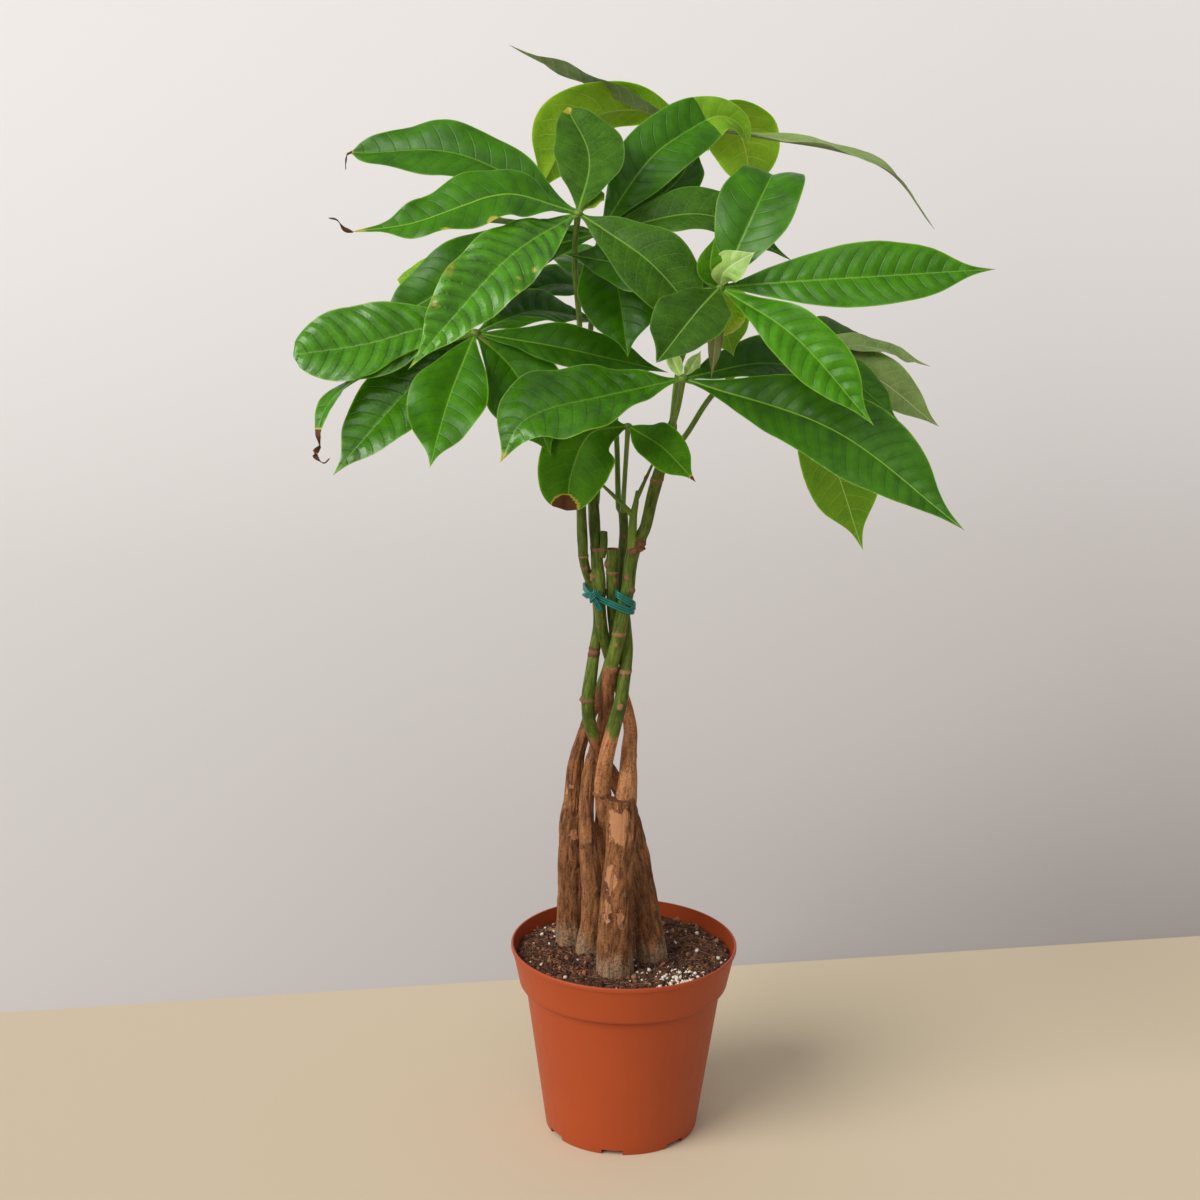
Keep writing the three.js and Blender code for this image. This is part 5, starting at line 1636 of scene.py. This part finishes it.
@dataclass
class NurseryPot:
    """Six inch nursery pot: thin tapered shell, straight collar, small lip."""

    height: float = 130
    rim_r: float = 75
    collar_height: float = 28
    collar_foot_r: float = 69.5
    body_top_r: float = 65.2
    foot_r: float = 51
    step_out: float = 2.6
    step_up: float = 3.4
    lip_r: float = 0.9
    wall: float = 1.5
    floor: float = 5.5
    sides: int = 160
    channels: int = 7
    channel_start: float = -97.0
    channel_width: float = 14
    channel_depth: float = 3.5
    channel_inner_r: float = 20
    channel_past: float = 6
    drain_r: float = 4
    drain_at_r: float = 36
    drain_z: float = 4
    drain_length: float = 12
    crease: float = 32
    finish: PotPlastic = field(default_factory=PotPlastic)

    def profile(self) -> list[tuple[float, float]]:
        """Half section of the shell.

        Returns:
            Radius and height of points from the middle of the underside round to the floor.
        """
        foot = self.height - self.collar_height
        out, up, lip_r = self.step_out, self.step_up, self.lip_r
        bend = [(self.collar_foot_r - out + out * math.sin(a), foot + up - up * math.cos(a))
                for a in np.linspace(0, 0.5 * math.pi, 9)]
        lip = [(self.rim_r - lip_r + lip_r * math.cos(a),
                self.height - lip_r + lip_r * math.sin(a))
               for a in np.linspace(0, 0.75 * math.pi, 8)]
        body = [(self.foot_r + (self.body_top_r - self.foot_r) * t, 1.2 + (foot - 1.2) * t)
                for t in np.linspace(0, 1, 12)]
        return [
            (0.0, 0.0), (self.foot_r - 1.2, 0.0), (self.foot_r - 0.3, 0.35),
            *body, *bend,
            (self.rim_r - 1.0, self.height - 3.4), (self.rim_r - 0.2, self.height - 3.0),
            (self.rim_r, self.height - 2.4), *lip,
            (self.rim_r - self.wall, self.height - 1.2),
            (self.collar_foot_r - self.wall, foot + self.wall),
            (self.body_top_r - self.wall, foot + self.wall - 1),
            (self.foot_r - self.wall + 0.6, self.floor), (0.0, self.floor),
        ]

    def build(self) -> Object:
        """Turns the shell and cuts its drain channels and holes.

        Returns:
            The pot, standing for its node.
        """
        profile = np.array(self.profile())
        turn = 2 * np.pi * np.arange(self.sides) / self.sides
        ring = np.stack([np.cos(turn), np.sin(turn)], -1)
        middle = profile[1:-1]
        points = np.concatenate([middle[:, None, :1] * ring[None], np.broadcast_to(
            middle[:, None, 1:], (len(middle), self.sides, 1))], -1).reshape(-1, 3)
        n = self.sides
        faces = []
        for i in range(len(middle) - 1):
            for j in range(n):
                k = (j + 1) % n
                faces.append([i * n + j, i * n + k, (i + 1) * n + k, (i + 1) * n + j])
        faces.append(list(range(n - 1, -1, -1)))
        faces.append([(len(middle) - 1) * n + j for j in range(n)])
        form = Form()
        form.add(points, faces, np.zeros(len(faces), np.int32), {})
        pot = form.build("pot_shell", [self.finish.material()], self.crease)
        for i in range(self.channels):
            angle = math.radians(self.channel_start) + 2 * math.pi * i / self.channels
            self.cut(pot, self.channel(angle))
            self.cut(pot, self.drain(angle))
        pot.data.set_sharp_from_angle(angle=math.radians(self.crease))
        return drape(pot, "pot_plastic", "pot")

    def channel(self, angle: float) -> Object:
        """Cutter for one drain channel under the foot."""
        length = self.foot_r + self.channel_past - self.channel_inner_r
        bpy.ops.mesh.primitive_cube_add(size=1)
        cutter = bpy.context.object
        cutter.scale = (length * MM, self.channel_width * MM, 2 * self.channel_depth * MM)
        away = (self.channel_inner_r + length / 2) * MM
        cutter.location = (away * math.cos(angle), away * math.sin(angle), 0)
        cutter.rotation_euler.z = angle
        return cutter

    def drain(self, angle: float) -> Object:
        """Cutter for one drain hole through the floor."""
        bpy.ops.mesh.primitive_cylinder_add(vertices=28, radius=self.drain_r * MM,
                                            depth=self.drain_length * MM)
        cutter = bpy.context.object
        away = self.drain_at_r * MM
        cutter.location = (away * math.cos(angle), away * math.sin(angle), self.drain_z * MM)
        return cutter

    @staticmethod
    def cut(pot: Object, cutter: Object) -> None:
        """Takes a cutter out of the pot and removes the cutter.

        Args:
            pot: The shell.
            cutter: The solid to take out of it.
        """
        bpy.context.view_layer.objects.active = pot
        carve = pot.modifiers.new("carve", "BOOLEAN")
        carve.operation, carve.object, carve.solver = "DIFFERENCE", cutter, "EXACT"
        bpy.ops.object.modifier_apply(modifier=carve.name)
        bpy.data.objects.remove(cutter, do_unlink=True)


@dataclass
class Soil:
    """Potting mix that fills the pot, with crumbs, fibres, bark chips and perlite on it."""

    top: float = 121.4
    mound: float = 2
    relief: float = 2.6
    floor_r: float = 48.8
    floor_z: float = 5.8
    body_r: float = 63.0
    collar_z: float = 103.8
    collar_r: float = 67.3
    rim_r: float = 71.2
    crumbs: int = 3400
    fibres: int = 620
    chips: int = 130
    perlite: int = 270
    mix: PottingMix = field(default_factory=PottingMix)
    white: PerliteFinish = field(default_factory=PerliteFinish)

    def height(self, x: Array, y: Array) -> Array:
        """Height of the surface at a place."""
        r = np.hypot(x, y)
        at = np.stack([x, y], -1)
        rough = (0.9 * bumpy(at / 17, 3) + 0.5 * bumpy(at / 6, 4) + 0.35 * bumpy(at / 2.4, 5))
        sink = 1.5 * smooth(r, self.rim_r - 7, self.rim_r)
        dome = self.mound * (1 - (r / self.rim_r) ** 2)
        return self.top + dome + self.relief * 0.6 * rough - sink

    def build(self) -> list[Object]:
        """Builds the body of the soil and what lies on it.

        Returns:
            Soil and perlite.
        """
        draws = np.random.default_rng(11)
        peat = self.mix.material()
        ground = Form()
        self.add_body(ground)
        self.add_crumbs(ground, draws)
        self.add_fibres(ground, draws)
        self.add_chips(ground, draws)
        soil = drape(ground.build("soil_peat", [peat], crease=80), "soil", "soil")
        white = Form()
        self.add_perlite(white, draws)
        grains = drape(white.build("soil_perlite", [self.white.material()], crease=80), "soil")
        return [soil, grains]

    def add_body(self, form: Form) -> None:
        """Adds the closed mass of soil with its uneven top."""
        sides = 180
        turn = 2 * np.pi * np.arange(sides) / sides
        rings = []
        for r, z in [(0.5, self.floor_z), (self.floor_r, self.floor_z),
                     (self.body_r, self.collar_z), (self.collar_r, self.collar_z)]:
            rings.append(np.stack([r * np.cos(turn), r * np.sin(turn), 0 * turn + z], -1))
        radii = np.concatenate([[self.rim_r], np.linspace(self.rim_r - 1, 0.5, 62)])
        for r in radii:
            x, y = r * np.cos(turn), r * np.sin(turn)
            rings.append(np.stack([x, y, self.height(x, y)], -1))
        stack = np.array(rings)
        tone = 0.25 + 0.3 * bumpy(stack[..., :2] / 5, 2)
        form.skin(stack, np.zeros(sides, int), {"tone": tone})

    def scatter(self, count: int, draws: Draws) -> Array:
        """Places on the surface, clear of the rim.

        Args:
            count: How many.
            draws: Seeded random numbers.

        Returns:
            Rows of x, y, z.
        """
        r = (self.rim_r - 1.0) * np.sqrt(draws.random(count))
        a = 2 * np.pi * draws.random(count)
        x, y = r * np.cos(a), r * np.sin(a)
        return np.stack([x, y, self.height(x, y)], -1)

    @staticmethod
    def lump() -> tuple[Array, Array]:
        """Twelve corners and twenty faces of a rough ball."""
        g = (1 + math.sqrt(5)) / 2
        corners = np.array([(-1, g, 0), (1, g, 0), (-1, -g, 0), (1, -g, 0), (0, -1, g),
                            (0, 1, g), (0, -1, -g), (0, 1, -g), (g, 0, -1), (g, 0, 1),
                            (-g, 0, -1), (-g, 0, 1)], float)
        faces = np.array([(0, 11, 5), (0, 5, 1), (0, 1, 7), (0, 7, 10), (0, 10, 11),
                          (1, 5, 9), (5, 11, 4), (11, 10, 2), (10, 7, 6), (7, 1, 8),
                          (3, 9, 4), (3, 4, 2), (3, 2, 6), (3, 6, 8), (3, 8, 9),
                          (4, 9, 5), (2, 4, 11), (6, 2, 10), (8, 6, 7), (9, 8, 1)])
        return corners / math.hypot(1, g), faces

    @staticmethod
    def turned(count: int, draws: Draws) -> Array:
        """Random turns as 3 x 3 matrices."""
        q = draws.normal(size=(count, 4))
        w, x, y, z = (q / np.linalg.norm(q, axis=1, keepdims=True)).T
        return np.stack([
            1 - 2 * (y * y + z * z), 2 * (x * y - z * w), 2 * (x * z + y * w),
            2 * (x * y + z * w), 1 - 2 * (x * x + z * z), 2 * (y * z - x * w),
            2 * (x * z - y * w), 2 * (y * z + x * w), 1 - 2 * (x * x + y * y),
        ], -1).reshape(-1, 3, 3)

    def add_lumps(self, form: Form, places: Array, size: Array, tone: Array,
                  draws: Draws, rough: float = 0.28) -> None:
        """Adds rough balls, each with its own shape and tone.

        Args:
            form: Collects them.
            places: Rows of x, y, z.
            size: Half width along three axes for each.
            tone: Tone of each.
            draws: Seeded random numbers.
            rough: How uneven they are.
        """
        corners, faces = self.lump()
        count = len(places)
        jitter = 1 + rough * draws.uniform(-1, 1, (count, 12, 1))
        local = corners[None] * jitter * size[:, None]
        points = places[:, None] + np.einsum("nij,nkj->nki", self.turned(count, draws), local)
        every = (faces[None] + 12 * np.arange(count)[:, None, None]).reshape(-1, 3).tolist()
        form.add(points.reshape(-1, 3), every, np.zeros(len(every), np.int32),
                 {"tone": np.repeat(tone, 12)})

    def add_crumbs(self, form: Form, draws: Draws) -> None:
        """Adds crumbs of peat, many small ones and a few large."""
        places = self.scatter(self.crumbs, draws)
        base = 0.45 + 1.5 * draws.random(self.crumbs) ** 3.0
        size = base[:, None] * draws.uniform(0.6, 1.25, (self.crumbs, 3))
        places[:, 2] += 0.25 * base
        tone = draws.normal(0.25, 0.32, self.crumbs)
        self.add_lumps(form, places, size, tone, draws, 0.35)

    def add_fibres(self, form: Form, draws: Draws) -> None:
        """Adds thin bent coir fibres that lie over the crumbs."""
        places = self.scatter(self.fibres, draws)
        length = draws.uniform(3, 13, self.fibres)
        heading = draws.uniform(0, 2 * np.pi, self.fibres)
        for k in range(self.fibres):
            steps = np.linspace(-0.5, 0.5, 6) * length[k]
            bend = draws.uniform(-0.25, 0.25)
            x = places[k, 0] + steps * math.cos(heading[k]) - bend * steps ** 2 * math.sin(
                heading[k]) * 0.3
            y = places[k, 1] + steps * math.sin(heading[k]) + bend * steps ** 2 * math.cos(
                heading[k]) * 0.3
            r = np.hypot(x, y)
            pull = np.minimum(1, (self.rim_r - 0.8) / np.maximum(r, 1e-6))
            x, y = x * pull, y * pull
            z = self.height(x, y) + 0.7 + 0.5 * draws.random()
            path = [(a, b, c, 0.16) for a, b, c in zip(x, y, z)]
            centre, out, radius, _ = tube(path, 4, length[k] / 6, 4)
            rings = centre[:, None] + out * radius[:, None, None]
            tone = np.full(rings.shape[:2], draws.uniform(0.5, 1.3))
            form.skin(rings, np.zeros(4, int), {"tone": tone})

    def add_chips(self, form: Form, draws: Draws) -> None:
        """Adds flat chips of bark."""
        places = self.scatter(self.chips, draws)
        places[:, 2] += 0.5
        size = np.stack([draws.uniform(1.5, 4.2, self.chips), draws.uniform(0.8, 2.0, self.chips),
                         draws.uniform(0.3, 0.6, self.chips)], -1)
        tone = draws.uniform(0.4, 1.2, self.chips)
        self.add_lumps(form, places, size, tone, draws, 0.3)

    def add_perlite(self, form: Form, draws: Draws) -> None:
        """Adds white grains, most of them gathered at the front right."""
        gathered = int(self.perlite * 0.68)
        places = self.scatter(self.perlite, draws)
        x = draws.normal(36, 11, gathered)
        y = draws.normal(-46, 10, gathered)
        inside = np.minimum(1, (self.rim_r - 2) / np.hypot(x, y))
        x, y = x * inside, y * inside
        places[:gathered] = np.stack([x, y, self.height(x, y)], -1)
        base = 0.5 + 1.3 * draws.random(self.perlite) ** 2
        places[:, 2] += 0.45 * base
        size = base[:, None] * draws.uniform(0.7, 1.2, (self.perlite, 3))
        self.add_lumps(form, places, size, np.zeros(self.perlite), draws, 0.3)


@dataclass(frozen=True)
class Strand:
    """An open length of the tie: its route, its twist in degrees, and its share of the width."""

    route: Sequence[Point]
    roll: float = 0.0
    narrow: float = 1.0


@dataclass
class TwistTie:
    """Ridged vinyl band wound round the stems, with its ends twisted at the front left."""

    height: float = 4.4
    thickness: float = 1.2
    z: float = 369
    slope: float = -0.4
    middle: float = -12
    ring: Sequence[tuple[float, float]] = (
        (-28.4, -10), (-23.8, -19.6), (-12, -22.4), (-3.5, -22.8), (1.2, -20.6), (2.2, -14),
        (1.5, -7), (0.3, -3.2), (-4, -1.4), (-12, -0.2), (-21, 0.6), (-28.2, -2.6))
    strands: Sequence[Strand] = (
        Strand([(-8.9, -19.4, 375.6), (-7.2, -22.4, 374.6), (-3, -23.2, 372.2),
                (0.8, -21.9, 369.6), (2.6, -18, 367.2), (2.9, -12, 364.4)]),
        Strand([(-18.4, -20.6, 373.4), (-21, -22.2, 374.8), (-24.5, -22.8, 374.6),
                (-27.6, -20.6, 373.4), (-28.6, -17.6, 372.4)], 50),
        Strand([(-27.2, -20.4, 376.6), (-25, -22.4, 374.6), (-22.4, -23.4, 371.8),
                (-20.2, -23.2, 368.2), (-18.6, -22.8, 364.9)], -35, 0.8),
        Strand([(-24.6, -21.2, 370.4), (-24, -23.6, 372.8), (-22.6, -23.9, 375.2),
                (-21.6, -22.6, 377.6)], 30, 0.8))
    steps: int = 200
    pitch: float = 0.35
    finish: TieVinyl = field(default_factory=TieVinyl)

    def section(self) -> Array:
        """Outline of the band across: flat inside, three round ridges outside.

        Returns:
            Rows of outward and upward shares of the band's size.
        """
        up = np.linspace(-0.5, 0.5, 25)
        out = 0.3 + 0.55 * np.abs(np.sin(3 * np.pi * (up + 0.5))) ** 0.6
        inner = np.stack([np.full(5, -0.5), np.linspace(0.42, -0.42, 5)], -1)
        return np.concatenate([np.stack([out, up], -1), inner])

    def turn(self, form: Form) -> None:
        """Adds the closed turn of the band.

        Args:
            form: Collects the tie.
        """
        stops = np.array([(x, y, self.z + self.slope * (x - self.middle))
                          for x, y in self.ring])
        loop = np.vstack([stops[-2:], stops, stops[:3]])
        line = Line(loop)
        first = line.reach[64 * 2] / line.length
        last = line.reach[64 * (2 + len(stops))] / line.length
        s = np.linspace(first, last, self.steps, endpoint=False)
        self.run(form, line.at(s), line.along(s), 0.0 * s, True)

    def strip(self, form: Form, strand: Strand) -> None:
        """Adds an open length of the band.

        Args:
            form: Collects the tie.
            strand: The length to add.
        """
        line = Line(strand.route)
        s = np.linspace(0, 1, max(12, round(line.length / self.pitch)))
        self.run(form, line.at(s), line.along(s), np.radians(strand.roll) * s, False,
                 strand.narrow)

    def run(self, form: Form, centre: Array, along: Array, roll: Array,
            closed: bool, narrow: float = 1.0) -> None:
        """Adds the band along points.

        Args:
            form: Collects the tie.
            centre: Points along the band's middle.
            along: Directions there.
            roll: Twist at each point.
            closed: Whether the band is a loop.
            narrow: Its width, as a share of the band's.
        """
        out = np.cross(along, [0, 0, 1])
        out /= np.linalg.norm(out, axis=1, keepdims=True)
        upward = np.cross(out, along)
        c, d = np.cos(roll)[:, None], np.sin(roll)[:, None]
        out, upward = out * c + upward * d, upward * c - out * d
        shape = self.section()
        rings = (centre[:, None] + out[:, None] * (shape[:, 0] * self.thickness)[None, :, None]
                 + upward[:, None] * (shape[:, 1] * self.height * narrow)[None, :, None])
        form.skin(rings[:, ::-1], np.zeros(len(shape), int), {}, closed=closed)

    def build(self) -> Object:
        """Builds the tie.

        Returns:
            The tie, standing for its node.
        """
        form = Form()
        self.turn(form)
        for strand in self.strands:
            self.strip(form, strand)
        return drape(form.build("twist_tie_band", [self.finish.material()], crease=60),
                     "tie_plastic", "twist_tie")


# --- Studio ---


@dataclass(frozen=True)
class Lamp:
    """A wide soft light: it shines from the side of a point to the middle of the plant.

    Softness is how wide it looks from the plant, in degrees, and power is watts for each
    square metre.
    """

    name: str
    at: Point
    softness: float
    power: float
    colour: str = "#fffdf9"


@dataclass
class Studio:
    """Pale paper sweep, soft lights and the camera. Sizes here are metres."""

    lens: float = 68.1
    sensor_width: float = 36.0
    camera_at: Point = (-0.0189, -1.400, 0.743)
    pitch: float = 15.1
    roll: float = 0.77
    sweep_front: float = -3.2
    sweep_back: float = 1.6
    sweep_radius: float = 2.4
    sweep_height: float = 3.4
    sweep_width: float = 9.0
    lamps: Sequence[Lamp] = (Lamp("key_light", (-1.5, -1.25, 1.75), 42.0, 2.66),
                             Lamp("front_light", (0.1, -1.3, 1.7), 30.0, 0.28))
    aim_at: Point = (0.0, 0.0, 0.35)
    room_colour: str = "#f2f2f3"
    room_power: float = 0.44
    paper: PaperFinish = field(default_factory=PaperFinish)

    def sweep(self) -> None:
        """Builds the paper sweep, turned so that its tones meet as in the photo."""
        bend = [(self.sweep_back + self.sweep_radius * math.sin(a),
                 self.sweep_radius * (1 - math.cos(a)))
                for a in np.linspace(0, 0.5 * math.pi, 24)]
        side = [(self.sweep_front, 0.0), (0.0, 0.0), *bend,
                (self.sweep_back + self.sweep_radius, self.sweep_height)]
        half = self.sweep_width / 2
        points = [(x, y, z) for y, z in side for x in (-half, half)]
        faces = [(2 * i, 2 * i + 1, 2 * i + 3, 2 * i + 2) for i in range(len(side) - 1)]
        mesh = bpy.data.meshes.new("paper_sweep")
        mesh.from_pydata(points, [], faces)
        mesh.materials.append(self.paper.material())
        mesh.shade_smooth()
        made = bpy.data.objects.new("paper_sweep", mesh)
        made.rotation_euler.z = math.radians(self.paper.edge_yaw)
        link(made)

    def light(self, lamp: Lamp) -> None:
        """Adds a light, far enough away to light the paper evenly."""
        data = bpy.data.lights.new(lamp.name, "SUN")
        data.energy, data.angle = lamp.power, math.radians(lamp.softness)
        data.color = linear(lamp.colour)[:3]
        made = bpy.data.objects.new(lamp.name, data)
        made.location = lamp.at
        aim = Vector(self.aim_at) - Vector(lamp.at)
        made.rotation_euler = aim.to_track_quat("-Z", "Y").to_euler()
        link(made)

    def room(self) -> None:
        """Adds the even light of the room."""
        world = bpy.data.worlds.new("room")
        bpy.context.scene.world = world
        world.use_nodes = True
        feed(world.node_tree, world.node_tree.nodes["Background"],
             {"Color": self.room_colour, "Strength": self.room_power})

    def camera(self) -> None:
        """Adds the camera where the photo was taken from."""
        data = bpy.data.cameras.new("camera")
        data.lens, data.sensor_width = self.lens, self.sensor_width
        camera = bpy.data.objects.new("camera", data)
        tip = Euler((math.radians(90 - self.pitch), 0, 0)).to_matrix().to_4x4()
        roll = Matrix.Rotation(math.radians(self.roll), 4, "Z")
        camera.matrix_world = Matrix.Translation(self.camera_at) @ tip @ roll
        link(camera)
        bpy.context.scene.camera = camera

    def build(self) -> None:
        """Builds the sweep, the lights, the room light and the camera."""
        self.sweep()
        for lamp in self.lamps:
            self.light(lamp)
        self.room()
        self.camera()
        bpy.context.scene.view_settings.view_transform = "Standard"
        LOG.info("studio ready")


def corners(box: tuple[Vector, Vector]) -> list[list[float]]:
    """Both corners of a box as plain lists."""
    return [list(corner) for corner in box]


def main() -> None:
    """Builds every piece in order."""
    logging.basicConfig(level=logging.INFO, format="%(name)s: %(message)s")
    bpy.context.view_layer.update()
    Studio().build()
    NurseryPot().build()
    Soil().build()
    bark = BarkFinish().material()
    for trunk in TRUNKS:
        trunk.build(bark)
    TwistTie().build()
    for leaf in LEAVES:
        leaf.build()


if __name__ == "__main__":
    main()
